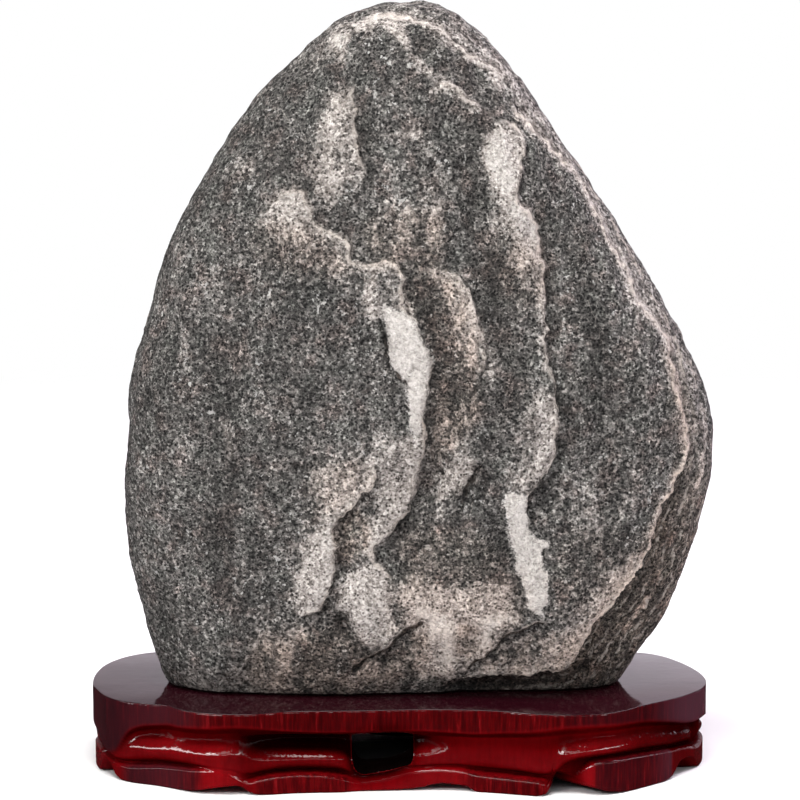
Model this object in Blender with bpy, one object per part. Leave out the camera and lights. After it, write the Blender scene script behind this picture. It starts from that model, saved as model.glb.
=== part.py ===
"""A mountain-shaped viewing stone resting in a carved, red-lacquered wooden stand.

Lengths below are millimetres; the meshes are made in metres. X runs to the right along the
stone's face, Y to its back and Z up. The feet stand on Z = 0.
"""

import math
from collections import namedtuple

import bmesh
import bpy
from mathutils import Vector, noise

MM = 0.001

# Driving sizes of the stand
STAND_HEIGHT = 33.0
CEILING_HEIGHT = 23.0
HOLLOW_HALF_LENGTH = 109.0
HOLLOW_HALF_DEPTH = 37.5
HOLLOW_SQUARENESS = 2.6
EDGE_BREAK = 0.6
STAND_STATIONS = 132

# Driving sizes of the seat and of the stone's foot that stands in it
SEAT_DEPTH = 2.5
SEAT_GAP = 0.3
FOOT_CENTRE = (-4.0, 1.5)
FOOT_HALF_LENGTH = 77.0
FOOT_HALF_DEPTH = 17.0
FOOT_SQUARENESS = 2.4

# Driving sizes of the stone
STONE_CENTRE = (4.0, 2.3, 132.0)
STONE_FRONT = 44.0
STONE_BACK = 42.0
STONE_FULLNESS = 2.9
STONE_ROUNDING = 0.46
STONE_UNDERSIDE = 33.9
STONE_SUBDIVISIONS = 5

# Plan outline of the stand: the front from the left tip to the right tip, then the back
STAND_FRONT = [
    (-124.5, -2), (-122.5, -11), (-117.5, -24), (-110.5, -32.5), (-98, -37.7), (-92, -39.7),
    (-87, -46), (-79, -51), (-67, -53.8), (-57, -53.2), (-43, -49.3), (-16, -47.8),
    (14, -45.8), (38, -48.5), (51, -52.8), (63, -54.8), (78, -52.8), (87, -48), (95, -39.7),
    (103, -33), (112, -24.5), (119, -14.5), (122.5, -5),
]
STAND_BACK = [
    (123.5, 4), (121.5, 17), (116, 32), (108, 45), (98, 51), (78, 53.6), (40, 54.6),
    (0, 54.8), (-45, 54.8), (-80, 54.2), (-101, 52), (-113, 44.5), (-121, 31), (-124.3, 15),
]

# Frontal outline of the stone around STONE_CENTRE, clockwise from the top, as (x, z)
STONE_OUTLINE = [
    (5, 306.5), (17, 304.5), (31, 295), (46, 277), (65, 249.5), (84, 221), (104, 188),
    (118, 161.5), (124.3, 141), (124.3, 123), (119.5, 99), (112, 74.5), (104, 58), (95, 45),
    (85, 31), (70, 24), (30, 20), (-40, 20), (-78, 23), (-91, 30), (-99, 45), (-104.5, 66),
    (-108, 83), (-110.4, 107), (-109.5, 130), (-107, 160), (-98.5, 188.5), (-91, 212.5),
    (-74, 244.5), (-58.5, 267.5), (-39.5, 286), (-25, 299), (-12, 304.7),
]

# Broken edges of the stone's layers, from top to bottom: the face steps back on their right
Ledge = namedtuple("Ledge", "drop fade edge")
LEDGES = [
    Ledge(3.0, 22.0, [(-52, 236), (-30, 222), (-6, 203), (5, 186), (11, 168), (7, 140), (-8, 115),
                      (-24, 102), (-26, 66), (-22, 46)]),
    Ledge(3.5, 24.0, [(34, 262), (41, 240), (52, 223), (55, 200), (57, 176), (60, 140), (50, 118),
                      (53, 95), (57, 70), (50, 52)]),
    Ledge(5.0, 30.0, [(46, 268), (61, 249), (76, 228), (93, 191), (103, 178), (113, 137),
                      (109, 121), (92, 83), (73, 56), (62, 40)]),
]

# Section of the stand's skirt at an arc length from the middle of the front:
# underside of the rim, hollow and roll below it (inset, height), top of the foot's face,
# its inset and the height of its lower edge
Section = namedtuple("Section", "arc rim cove cove_z roll roll_z foot_z foot_in low")
SECTIONS = [
    Section(-153, 19.5, 3.5, 15, 1.0, 11.5, 9.0, 0.0, 0.0),
    Section(-141, 20.0, 4.5, 15, 2.5, 11.5, 9.0, 1.0, 0.0),
    Section(-131, 20.5, 5.0, 15, 4.0, 11.5, 9.5, 3.0, 6.0),
    Section(-120, 21.5, 3.0, 18, 0.8, 12.5, 6.3, 0.2, 0.0),
    Section(-100, 24.0, 2.6, 20, 0.4, 13.5, 7.6, 0.0, 0.0),
    Section(-80, 27.2, 2.6, 24, 0.4, 16.0, 11.0, 0.0, 0.0),
    Section(-66, 28.7, 3.5, 24, 2.5, 16.5, 9.0, 1.5, 2.0),
    Section(-58, 28.0, 6.0, 21, 5.0, 13.0, 6.8, 0.5, 0.5),
    Section(-43, 26.0, 7.0, 20, 3.0, 12.6, 7.4, 0.0, 0.0),
    Section(-22, 24.8, 7.0, 20, 3.0, 11.8, 6.4, 0.0, 0.0),
    Section(-8, 24.7, 6.0, 20, 4.5, 10.0, 5.2, 0.5, 0.0),
    Section(12, 24.3, 6.0, 19, 3.0, 12.0, 8.0, 1.0, 1.0),
    Section(25, 23.2, 5.5, 18, 2.2, 11.5, 8.0, 1.0, 2.0),
    Section(33, 23.6, 5.5, 18, 1.8, 10.5, 6.2, 0.0, 0.0),
    Section(52, 27.0, 5.5, 19, 1.8, 11.0, 7.2, 0.0, 0.0),
    Section(62, 28.9, 6.0, 21, 3.0, 13.0, 11.5, 2.5, 9.2),
    Section(72, 28.4, 5.0, 23, 2.0, 17.5, 12.5, 1.5, 4.5),
    Section(84, 28.2, 4.0, 24, 1.4, 17.0, 13.8, 0.0, 0.0),
    Section(106, 25.4, 3.5, 21, 1.4, 16.2, 12.6, 0.0, 0.0),
    Section(118, 23.4, 4.0, 19, 2.0, 13.5, 10.0, 0.5, 0.0),
    Section(128, 21.5, 5.0, 17, 4.5, 12.0, 9.5, 3.0, 6.0),
    Section(140, 20.0, 4.5, 15, 2.5, 11.5, 9.0, 1.0, 0.0),
    Section(153, 19.5, 3.5, 15, 1.0, 11.5, 9.0, 0.0, 0.0),
]

# Windows cut through the skirt, in its front as (left, right, low, high)
FRONT_WINDOW = (-19.5, 5.0, 6.6, 22.6)


def clear_scene():
    for scene_object in list(bpy.data.objects):
        bpy.data.objects.remove(scene_object, do_unlink=True)


def make_material(name, colour, roughness, coat):
    material = bpy.data.materials.new(name)
    material.use_nodes = True
    shader = material.node_tree.nodes["Principled BSDF"]
    shader.inputs["Base Color"].default_value = (*colour, 1.0)
    shader.inputs["Roughness"].default_value = roughness
    shader.inputs["Metallic"].default_value = 0.0
    shader.inputs["Coat Weight"].default_value = coat
    return material


def make_object(name, mesh_builder, material, sharp_angle):
    mesh = bpy.data.meshes.new(name)
    bmesh.ops.recalc_face_normals(mesh_builder, faces=mesh_builder.faces)
    mesh_builder.to_mesh(mesh)
    mesh_builder.free()
    mesh.materials.append(material)
    mesh.shade_smooth()
    mesh.set_sharp_from_angle(angle=math.radians(sharp_angle))
    made = bpy.data.objects.new(name, mesh)
    bpy.context.scene.collection.objects.link(made)
    return made


def smooth_step(value):
    value = min(1.0, max(0.0, value))
    return value * value * (3.0 - 2.0 * value)


def along(points, position):
    """Value at a position on a row of (position, value) points, eased between them."""
    if position <= points[0][0]:
        return points[0][1]
    for (start, before), (end, after) in zip(points, points[1:]):
        if position <= end:
            return before + (after - before) * smooth_step((position - start) / (end - start))
    return points[-1][1]


def spline_point(before, start, end, after, t):
    """Point of a Catmull-Rom spline between start and end."""
    return tuple(
        0.5 * (2 * b + (c - a) * t + (2 * a - 5 * b + 4 * c - d) * t * t
               + (3 * b - a - 3 * c + d) * t ** 3)
        for a, b, c, d in zip(before, start, end, after)
    )


def closed_spline(points, steps):
    count = len(points)
    curve = []
    for i in range(count):
        corners = [points[(i + k) % count] for k in (-1, 0, 1, 2)]
        curve.extend(spline_point(*corners, step / steps) for step in range(steps))
    return curve


def superellipse(half_length, half_depth, squareness, angle):
    cosine = math.cos(angle)
    sine = math.sin(angle)
    power = 2.0 / squareness
    return (
        half_length * math.copysign(abs(cosine) ** power, cosine),
        half_depth * math.copysign(abs(sine) ** power, sine),
    )


def stand_stations(count):
    """Evenly spaced stations round the stand: position, outward normal and arc position.

    The arc position is measured from the middle of the front or of the back, and the
    back repeats the front's pattern turned half a turn about Z.
    """
    curve = closed_spline(STAND_FRONT + STAND_BACK, 16)
    lengths = [0.0]
    for start, end in zip(curve, curve[1:] + curve[:1]):
        lengths.append(lengths[-1] + math.dist(start, end))
    tips = [0.0, lengths[16 * len(STAND_FRONT)], lengths[-1]]
    middles = []
    for low, high, sign in ((tips[0], tips[1], 1), (tips[1], tips[2], -1)):
        half = [i for i in range(len(curve)) if low <= lengths[i] < high]
        middles.append(lengths[min(half, key=lambda i: abs(curve[i][0]))])
    stations = []
    for i in range(count):
        length = lengths[-1] * i / count
        segment = max(k for k in range(len(curve)) if lengths[k] <= length)
        start = curve[segment]
        end = curve[(segment + 1) % len(curve)]
        part = (length - lengths[segment]) / (lengths[segment + 1] - lengths[segment])
        point = tuple(a + (b - a) * part for a, b in zip(start, end))
        tangent = (end[0] - start[0], end[1] - start[1])
        size = math.hypot(*tangent)
        half = 0 if length < tips[1] else 1
        middle = middles[half]
        reach = middle - tips[half] if length < middle else tips[half + 1] - middle
        arc = 153.0 * (length - middle) / reach
        stations.append((point, (tangent[1] / size, -tangent[0] / size), arc))
    return stations


def skirt_profile(arc):
    """Section from the top edge down to the foot's lower edge, as (inset, height)."""
    value = {
        field: along([(section.arc, getattr(section, field)) for section in SECTIONS], arc)
        for field in Section._fields[1:]
    }
    return [
        (EDGE_BREAK, STAND_HEIGHT),
        (0.0, STAND_HEIGHT - EDGE_BREAK),
        (0.0, value["rim"]),
        (1.2, value["rim"] - 0.5),
        (value["cove"], value["cove_z"]),
        (value["roll"], value["roll_z"]),
        (value["roll"] + 0.8, value["foot_z"] + 0.7),
        (value["foot_in"], value["foot_z"]),
        (value["foot_in"], value["low"]),
    ]


def stand_body():
    """Plate, rim, carved skirt and feet, with the hollow below the plate, as one solid."""
    builder = bmesh.new()
    rings = []
    for (x, y), normal, arc in stand_stations(STAND_STATIONS):
        profile = skirt_profile(arc)
        ring = [
            (x - normal[0] * inset, y - normal[1] * inset, height) for inset, height in profile
        ]
        angle = math.atan2(y / HOLLOW_HALF_DEPTH, x / HOLLOW_HALF_LENGTH)
        inner = superellipse(HOLLOW_HALF_LENGTH, HOLLOW_HALF_DEPTH, HOLLOW_SQUARENESS, angle)
        ring.append((inner[0], inner[1], profile[-1][1]))
        ring.append((0.985 * inner[0], 0.97 * inner[1], CEILING_HEIGHT))
        rings.append([builder.verts.new([value * MM for value in point]) for point in ring])
    for ring, following in zip(rings, rings[1:] + rings[:1]):
        for k in range(len(ring) - 1):
            builder.faces.new((ring[k], ring[k + 1], following[k + 1], following[k]))
    builder.faces.new([ring[0] for ring in rings])
    builder.faces.new([ring[-1] for ring in rings])
    return builder


def add_cutter(target, name, outline, start, end, axis):
    """Hidden prism over a closed outline that a Boolean modifier takes out of the target."""
    builder = bmesh.new()
    places = {
        "Z": lambda point, depth: (point[0], point[1], depth),
        "Y": lambda point, depth: (point[0], depth, point[1]),
    }
    near = [builder.verts.new([v * MM for v in places[axis](p, start)]) for p in outline]
    face = builder.faces.new(near)
    swept = bmesh.ops.extrude_face_region(builder, geom=[face])
    moved = [item for item in swept["geom"] if isinstance(item, bmesh.types.BMVert)]
    shift = [value * MM for value in places[axis]((0.0, 0.0), end - start)]
    bmesh.ops.translate(builder, verts=moved, vec=shift)
    cutter = make_object(name, builder, target.data.materials[0], 30.0)
    cutter.hide_render = True
    cutter.display_type = "WIRE"
    cut = target.modifiers.new(name, "BOOLEAN")
    cut.operation = "DIFFERENCE"
    cut.solver = "EXACT"
    cut.object = cutter


def foot_outline(margin, count):
    outline = []
    for i in range(count):
        x, y = superellipse(
            FOOT_HALF_LENGTH + margin, FOOT_HALF_DEPTH + margin, FOOT_SQUARENESS,
            2.0 * math.pi * i / count,
        )
        outline.append((FOOT_CENTRE[0] + x, FOOT_CENTRE[1] + y))
    return outline


def window_outline(left, right, low, high):
    """Rounded opening whose lower edge rises a little to the right."""
    middle = ((left + right) / 2.0, (low + high) / 2.0)
    outline = []
    for i in range(28):
        angle = 2.0 * math.pi * i / 28
        x, z = superellipse((right - left) / 2.0, (high - low) / 2.0, 3.2, angle)
        rise = 1.2 * x / (right - left) if z < 0 else 0.0
        outline.append((middle[0] + x, middle[1] + z + rise))
    return outline


def make_stand(material):
    stand = make_object("stand", stand_body(), material, 35.0)
    add_cutter(
        stand, "seat_cutter", foot_outline(0.4, 48),
        STAND_HEIGHT - SEAT_DEPTH, STAND_HEIGHT + 5.0, "Z",
    )
    left, right, low, high = FRONT_WINDOW
    add_cutter(
        stand, "front_window_cutter", window_outline(left, right, low, high), -70.0, -25.0, "Y"
    )
    add_cutter(
        stand, "back_window_cutter", window_outline(-right, -left, low, high), 25.0, 70.0, "Y"
    )
    return stand


def outline_radius():
    """Distance from the stone's centre to its frontal outline, by direction."""
    curve = closed_spline(STONE_OUTLINE, 10)
    polar = sorted(
        (math.atan2(z - STONE_CENTRE[2], x - STONE_CENTRE[0]),
         math.hypot(x - STONE_CENTRE[0], z - STONE_CENTRE[2]))
        for x, z in curve
    )
    return [(polar[-1][0] - 2 * math.pi, polar[-1][1])] + polar + [
        (polar[0][0] + 2 * math.pi, polar[0][1])
    ]


def radius_at(polar, angle):
    for (start, before), (end, after) in zip(polar, polar[1:]):
        if angle <= end:
            return before + (after - before) * (angle - start) / (end - start)
    return polar[-1][1]


def edge_x(edge, height):
    """X of a layer's broken edge at a height; the edge's points run downwards."""
    rising = [(z, x) for x, z in reversed(edge)]
    for (start, before), (end, after) in zip(rising, rising[1:]):
        if height <= end:
            share = max(0.0, (height - start) / (end - start))
            return before + (after - before) * share
    return rising[-1][1]


def ledge_setback(x, z):
    """How far the face has stepped back at (x, z), over all the layers' edges."""
    setback = 0.0
    for ledge in LEDGES:
        top = ledge.edge[0][1]
        bottom = ledge.edge[-1][1]
        across = smooth_step((x - edge_x(ledge.edge, z) + 4.0) / 8.0)
        ends = smooth_step((top + ledge.fade - z) / (2.0 * ledge.fade))
        ends *= smooth_step((z - bottom + ledge.fade) / ledge.fade)
        setback += ledge.drop * across * ends
    return setback


def waviness(x, y, z):
    """Slow swells of the weathered surface, stretched along its slanting layers."""
    along_layer = 0.45 * x + z
    across_layer = x - 0.35 * z
    broad = noise.noise(Vector((across_layer / 38.0, y / 38.0, along_layer / 75.0)))
    fine = noise.noise(Vector((across_layer / 15.0 + 7.0, y / 15.0, along_layer / 32.0)))
    return 5.0 * broad + 1.8 * fine


def stone_point(direction, polar):
    """Point of the stone's surface in a direction given on the unit sphere."""
    flat = math.hypot(direction.x, direction.z)
    angle = math.atan2(direction.z, direction.x)
    radius = radius_at(polar, angle) * flat
    x = STONE_CENTRE[0] + radius * math.cos(angle)
    z = STONE_CENTRE[2] + radius * math.sin(angle)
    facing = max(0.0, 1.0 - flat ** STONE_FULLNESS) ** STONE_ROUNDING
    if direction.y < 0:
        offset = facing * (ledge_setback(x, z) - STONE_FRONT - waviness(x, -20.0, z))
    else:
        offset = facing * (STONE_BACK + 1.5 * waviness(x, 40.0, z))
    return x, STONE_CENTRE[1] + offset, z


def stone_body():
    builder = bmesh.new()
    bmesh.ops.create_icosphere(builder, subdivisions=STONE_SUBDIVISIONS, radius=1.0)
    polar = outline_radius()
    for vertex in builder.verts:
        vertex.co = [value * MM for value in stone_point(vertex.co, polar)]
    cut = bmesh.ops.bisect_plane(
        builder, geom=builder.verts[:] + builder.edges[:] + builder.faces[:], dist=1e-7,
        plane_co=(0.0, 0.0, STONE_UNDERSIDE * MM), plane_no=(0.0, 0.0, 1.0), clear_inner=True,
    )
    rim = [item for item in cut["geom_cut"] if isinstance(item, bmesh.types.BMEdge)]
    add_stone_foot(builder, rim)
    return builder


def add_stone_foot(builder, rim):
    """Foot below the stone's underside: a step in to its outline, then straight down."""
    under = bmesh.ops.extrude_edge_only(builder, edges=rim)
    ring = [item for item in under["geom"] if isinstance(item, bmesh.types.BMVert)]
    for vertex in ring:
        across = (vertex.co.x / MM - FOOT_CENTRE[0]) / FOOT_HALF_LENGTH
        deep = (vertex.co.y / MM - FOOT_CENTRE[1]) / FOOT_HALF_DEPTH
        x, y = superellipse(
            FOOT_HALF_LENGTH, FOOT_HALF_DEPTH, FOOT_SQUARENESS, math.atan2(deep, across)
        )
        vertex.co.x = (FOOT_CENTRE[0] + x) * MM
        vertex.co.y = (FOOT_CENTRE[1] + y) * MM
    edges = [item for item in under["geom"] if isinstance(item, bmesh.types.BMEdge)]
    down = bmesh.ops.extrude_edge_only(builder, edges=edges)
    sole = [item for item in down["geom"] if isinstance(item, bmesh.types.BMVert)]
    for vertex in sole:
        vertex.co.z = (STAND_HEIGHT - SEAT_DEPTH + SEAT_GAP) * MM
    sole_edges = [item for item in down["geom"] if isinstance(item, bmesh.types.BMEdge)]
    bmesh.ops.contextual_create(builder, geom=sole_edges)


def make_stone(material):
    return make_object("stone", stone_body(), material, 50.0)


def main():
    clear_scene()
    grey_stone = make_material("grey_stone", (0.13, 0.12, 0.11), 0.85, 0.0)
    red_lacquer = make_material("red_lacquer", (0.16, 0.006, 0.008), 0.12, 1.0)
    make_stand(red_lacquer)
    make_stone(grey_stone)


main()
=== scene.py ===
"""Looks of a layered gneiss viewing stone on its carved, red-lacquered wooden stand.

Lengths are millimetres unless a name says otherwise; meshes, lights and the stage are in
metres. X runs to the right along the stone's face, Y to its back and Z up.
"""

import math
from collections import namedtuple

import bmesh
import bpy
import numpy as np
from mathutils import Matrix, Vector, noise


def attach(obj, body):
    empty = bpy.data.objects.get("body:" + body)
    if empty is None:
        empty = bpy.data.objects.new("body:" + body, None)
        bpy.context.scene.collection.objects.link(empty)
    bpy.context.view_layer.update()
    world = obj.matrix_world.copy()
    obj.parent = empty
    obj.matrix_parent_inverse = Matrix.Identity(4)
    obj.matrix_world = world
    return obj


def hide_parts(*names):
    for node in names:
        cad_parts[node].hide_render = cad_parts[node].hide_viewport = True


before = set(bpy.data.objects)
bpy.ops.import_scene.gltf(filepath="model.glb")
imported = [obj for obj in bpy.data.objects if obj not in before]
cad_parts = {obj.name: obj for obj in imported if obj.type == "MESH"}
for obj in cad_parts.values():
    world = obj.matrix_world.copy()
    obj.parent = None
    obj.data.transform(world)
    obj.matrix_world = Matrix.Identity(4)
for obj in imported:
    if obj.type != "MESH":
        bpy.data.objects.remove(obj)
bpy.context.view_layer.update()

MM = 0.001

# Camera: the photograph's angle through a long lens, in metres and degrees
CAMERA_ELEVATION = 9.5
CAMERA_DISTANCE = 1.5
CAMERA_TARGET = (-0.0004, 0.0023, 0.148)
CAMERA_LENS = 168.75

# Lights seen only in the lacquer's gloss, all round the stand's foot at one distance and
# height: turn from the front in degrees, length and width in metres, watts
GLOSS_LIGHTS = [(-56.0, 1.2, 0.14, 10.5), (4.0, 0.6, 0.07, 1.3), (52.0, 1.0, 0.10, 5.4)]
GLOSS_LIGHT_DISTANCE = 1.05
GLOSS_LIGHT_HEIGHT = 0.46

# Stage: half the width of its sheets in metres, and the room's light on surfaces and in gloss
SHEET_HALF_WIDTH = 4.0
ROOM_LIGHT = 0.14
ROOM_GLOSS = 0.06

# Stone: centre, how far front and back stand out from it, exponents of their rounding, height
# of the underside, width of the blend between the faces; then its flattened foot
STONE_CENTRE = (4.0, 2.3, 132.0)
STONE_FRONT = 44.0
STONE_BACK = 42.0
STONE_FULLNESS = 2.9
STONE_ROUNDING = 0.46
STONE_UNDERSIDE = 33.9
FACE_BLEND = 0.36
FOOT_CENTRE = (-4.0, 1.5)
FOOT_HALF_LENGTH = 77.0
FOOT_HALF_DEPTH = 17.0
FOOT_SQUARENESS = 2.4
FOOT_SOLE = 30.8

# Layers of the stone: slope along and across them in the (x, z) plane; layer edges outside the
# crest: thickness, waviness, how sharply each ends, its step and the slope of the side
LAYER_SLOPE = 0.45
LAYER_LEAN = 0.35
LAYER_THICKNESS = 4.2
LAYER_WAVINESS = 0.45
LAYER_SHARPNESS = 1.15
LAYER_STEP = 1.3
SIDE_SLOPE = 0.06

# Broad swell of the stone's faces: height, stretch along the layers, size and seed
BROAD_SWELL = [(5.0, 0.5, 38.0, 0.0), (1.8, 0.47, 15.0, 7.0)]
# Small relief of the stone: height, size and seed of two that follow the layers and of the pits
SMALL_RELIEF = [(0.90, 8.0, 1.0), (0.60, 3.8, 2.0), (0.40, 1.9, 4.0)]
# Wobble of the drawn lines: shift, size and the seeds for x and z
WOBBLE = [(1.3, 9.0, 3.0, 5.0), (1.4, 3.4, 11.0, 13.0)]

# Stand: its height, the hollow under it, the seat in its plate, half the length of the
# unrolled front, width of the feet's rounding and top of the carved rows
STAND_HEIGHT = 33.0
CEILING_HEIGHT = 23.0
CEILING_SHRINK = (0.985, 0.97)
HOLLOW_HALF_LENGTH = 109.0
HOLLOW_HALF_DEPTH = 37.5
HOLLOW_SQUARENESS = 2.6
SEAT_FLOOR = 30.5
SEAT_MARGIN = 0.4
ARC_REACH = 153.0
FOOT_ROUND = 1.6
SKIRT_TOP = 32.0

# Rounded edge between plate and rim, as (inset, height)
PLATE_EDGE = [(0.36, 33.0), (0.16, 32.95), (0.04, 32.85), (0.01, 32.7)]

# Plan outline of the stand: the front from the left tip to the right tip, then the back
STAND_FRONT = [
    (-124.5, -2), (-122.5, -11), (-117.5, -24), (-110.5, -32.5), (-98, -37.7), (-92, -39.7),
    (-87, -46), (-79, -51), (-67, -53.8), (-57, -53.2), (-43, -49.3), (-16, -47.8),
    (14, -45.8), (38, -48.5), (51, -52.8), (63, -54.8), (78, -52.8), (87, -48), (95, -39.7),
    (103, -33), (112, -24.5), (119, -14.5), (122.5, -5),
]
STAND_BACK = [
    (123.5, 4), (121.5, 17), (116, 32), (108, 45), (98, 51), (78, 53.6), (40, 54.6),
    (0, 54.8), (-45, 54.8), (-80, 54.2), (-101, 52), (-113, 44.5), (-121, 31), (-124.3, 15),
]

# Lower edge of the stand's skirt, as (arc, z) on the unrolled front; the back repeats the
# front turned half a turn
SKIRT_EDGE = [
    (-153, 0), (-141, 0), (-138, 1), (-135, 5.5), (-131, 6.5), (-127, 5), (-124, 1.5),
    (-120, 0), (-95, 0), (-86, 0.6), (-80, 1.6), (-76, 2.4), (-71, 3.2), (-66, 3.7),
    (-63, 3.2), (-60, 1.2), (-56, 0.2), (-50, 0), (-20, 0), (0, 0.5), (6, 1), (10, 1.5),
    (13, 2.5), (16, 3), (21, 2.7), (26, 2.2), (28, 1), (30, 0), (54, 0), (57.5, 0.8),
    (59, 3.5), (59.8, 7), (61.5, 9.2), (64, 9), (67, 7.6), (71, 5.3), (76, 3.2), (81, 1.6),
    (87, 0.5), (92, 0), (112, 0), (117, 0.8), (120, 3), (123, 5.5), (128, 6.5), (133, 5.5),
    (137, 1), (140, 0), (153, 0),
]

# Carving below the rim at arcs along the unrolled front: heights of the rim's lower edge, of
# the cove under it, of the bulge's crest, of the groove below and of the foot's top edge,
# each after the first with its inset behind the rim's face
CARVING = [
    (-153, 19.0, 17.0, 2.2, 14.5, 0.8, 11.5, 3.0, 10.6, 0.4),
    (-143, 16.0, 14.5, 1.5, 12.5, 0.6, 10.8, 2.6, 10.0, 0.1),
    (-136, 12.5, 12.0, 1.2, 11.2, 1.0, 10.2, 2.4, 9.4, 0.0),
    (-129, 10.6, 10.2, 1.0, 9.6, 1.0, 8.8, 2.2, 8.0, 0.2),
    (-122, 13.0, 11.6, 0.6, 10.2, 0.4, 8.0, 2.2, 7.0, 0.1),
    (-116, 21.0, 18.0, 2.2, 13.0, 0.2, 8.2, 3.0, 7.0, -0.2),
    (-110, 24.0, 20.6, 3.4, 13.6, 0.0, 8.8, 3.6, 7.6, -0.3),
    (-103, 25.0, 21.4, 3.8, 13.6, 0.0, 9.4, 3.8, 8.4, -0.3),
    (-95, 25.8, 22.0, 3.3, 13.9, 0.0, 10.0, 3.8, 9.1, -0.3),
    (-87, 26.4, 22.2, 3.6, 14.3, 0.0, 10.4, 3.2, 9.6, -0.3),
    (-81, 26.9, 22.4, 3.8, 14.7, 0.0, 10.8, 1.8, 9.9, -0.2),
    (-76, 27.3, 22.6, 3.9, 15.0, 0.0, 10.8, 0.8, 9.6, 0.3),
    (-71, 27.8, 22.9, 3.9, 15.2, 0.1, 10.4, 0.8, 8.8, 0.6),
    (-66, 28.0, 23.2, 4.0, 14.8, 0.8, 9.6, 1.6, 7.4, 1.0),
    (-62, 27.8, 22.6, 4.6, 13.4, 1.9, 8.0, 3.0, 5.6, 1.6),
    (-58, 27.4, 21.8, 5.6, 12.2, 2.0, 7.8, 4.0, 6.2, 0.0),
    (-53, 26.6, 21.4, 6.8, 12.2, 1.5, 8.6, 4.2, 7.3, -0.7),
    (-46, 25.4, 21.2, 7.8, 12.7, 1.0, 9.2, 4.4, 8.0, -0.8),
    (-38, 24.7, 20.8, 8.4, 12.8, 0.9, 9.2, 4.4, 8.1, -0.8),
    (-30, 24.4, 20.6, 8.6, 12.6, 1.0, 9.0, 4.4, 7.7, -0.8),
    (-23, 24.4, 20.4, 8.6, 12.0, 1.6, 8.2, 4.4, 6.6, -0.7),
    (-17, 24.3, 20.0, 8.4, 10.0, 3.0, 6.2, 3.2, 4.8, 0.3),
    (-10, 24.2, 20.0, 8.2, 9.0, 4.0, 6.4, 3.2, 5.1, 0.4),
    (-3, 24.3, 20.2, 7.8, 9.8, 3.6, 7.4, 3.0, 6.3, 0.3),
    (4, 24.4, 20.4, 6.4, 12.0, 1.6, 8.9, 2.6, 8.0, 0.2),
    (10, 24.4, 20.8, 4.8, 13.0, 0.8, 9.6, 2.2, 8.7, 0.2),
    (17, 24.1, 20.8, 3.4, 13.2, 1.4, 9.9, 2.6, 9.0, 0.2),
    (24, 23.7, 20.8, 2.8, 13.2, 2.0, 9.6, 3.4, 8.6, 0.0),
    (30, 23.6, 20.8, 2.7, 13.0, 2.2, 9.0, 4.0, 7.5, -0.8),
    (37, 24.2, 21.0, 2.7, 12.8, 2.2, 8.6, 4.2, 7.1, -1.2),
    (45, 25.0, 21.4, 2.9, 12.2, 1.8, 8.2, 4.2, 6.9, -1.4),
    (51, 25.8, 21.8, 2.9, 11.4, 1.7, 7.8, 4.0, 6.6, -1.4),
    (56, 26.7, 22.0, 3.0, 11.2, 1.7, 7.6, 3.8, 6.2, -1.0),
    (61, 27.6, 22.4, 3.3, 13.2, 1.7, 9.0, 3.8, 4.0, 2.6),
    (65, 28.1, 22.7, 3.8, 15.4, 0.8, 12.0, 4.0, 4.0, 3.8),
    (70, 28.4, 23.0, 3.6, 16.6, 0.4, 14.0, 4.4, 8.0, 3.6),
    (75, 28.5, 23.3, 3.4, 17.2, 0.2, 14.7, 4.4, 13.0, 0.6),
    (81, 28.4, 23.5, 3.2, 17.6, 0.0, 15.0, 3.8, 14.2, -1.2),
    (88, 27.9, 23.5, 3.0, 17.6, 0.0, 15.0, 3.6, 14.2, -1.6),
    (96, 27.2, 23.3, 2.8, 17.4, 0.0, 14.8, 3.4, 13.9, -1.6),
    (104, 26.2, 22.7, 2.6, 16.9, 0.0, 14.4, 3.2, 13.4, -1.5),
    (112, 24.8, 21.8, 2.8, 16.2, 0.2, 13.7, 3.4, 12.8, -1.0),
    (118, 23.6, 20.8, 3.2, 15.8, 0.8, 13.0, 3.8, 12.0, 0.2),
    (124, 22.2, 19.8, 3.4, 16.2, 1.2, 12.6, 4.2, 11.4, 1.0),
    (131, 21.0, 19.0, 3.6, 15.6, 1.8, 12.0, 4.4, 10.6, 0.5),
    (138, 20.8, 18.8, 4.2, 15.0, 3.2, 11.0, 4.0, 9.4, 0.7),
    (145, 20.4, 18.4, 3.8, 14.8, 2.8, 11.0, 3.8, 9.4, 0.7),
    (153, 19.0, 17.0, 2.2, 14.5, 0.8, 11.5, 3.0, 10.6, 0.4),
]

# Window through the skirt's front, as (x, z)
WINDOW = [
    (-19.6, 14), (-19.0, 19.5), (-15, 22.2), (-9, 23.1), (-2, 23.2), (2.6, 22), (4.8, 19),
    (5.0, 15), (4.5, 11.6), (2.6, 8.8), (-1.2, 7.0), (-5, 6.0), (-10, 5.4), (-14.7, 5.2),
    (-17.3, 6.4), (-18.8, 9.6),
]

# Depths of the window's cut from the stand's middle line, with the cut's rise there
WINDOW_CUT = [(60.0, 0.0), (43.5, 0.0), (36.0, 6.0)]

# One over the half axes in mm of the painted shadow, a dark oval on the floor inside the hollow
STAND_SHADOW = (1.0 / 45.0, 1.0 / 36.0, 0.0)

# Painted shade: how light the carving's red is along the stand, as (x, share) within a reach to
# each side
FALLOFF_REACH = 125.0
CARVING_LIGHT_FALLOFF = [
    (-120, 0.38), (-108, 0.70), (-90, 0.92), (-72, 0.90), (-62, 0.52), (-28, 0.55),
    (-16, 0.75), (20, 0.72), (60, 0.68), (72, 0.80), (84, 0.74), (94, 0.38), (110, 0.25),
]
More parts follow.
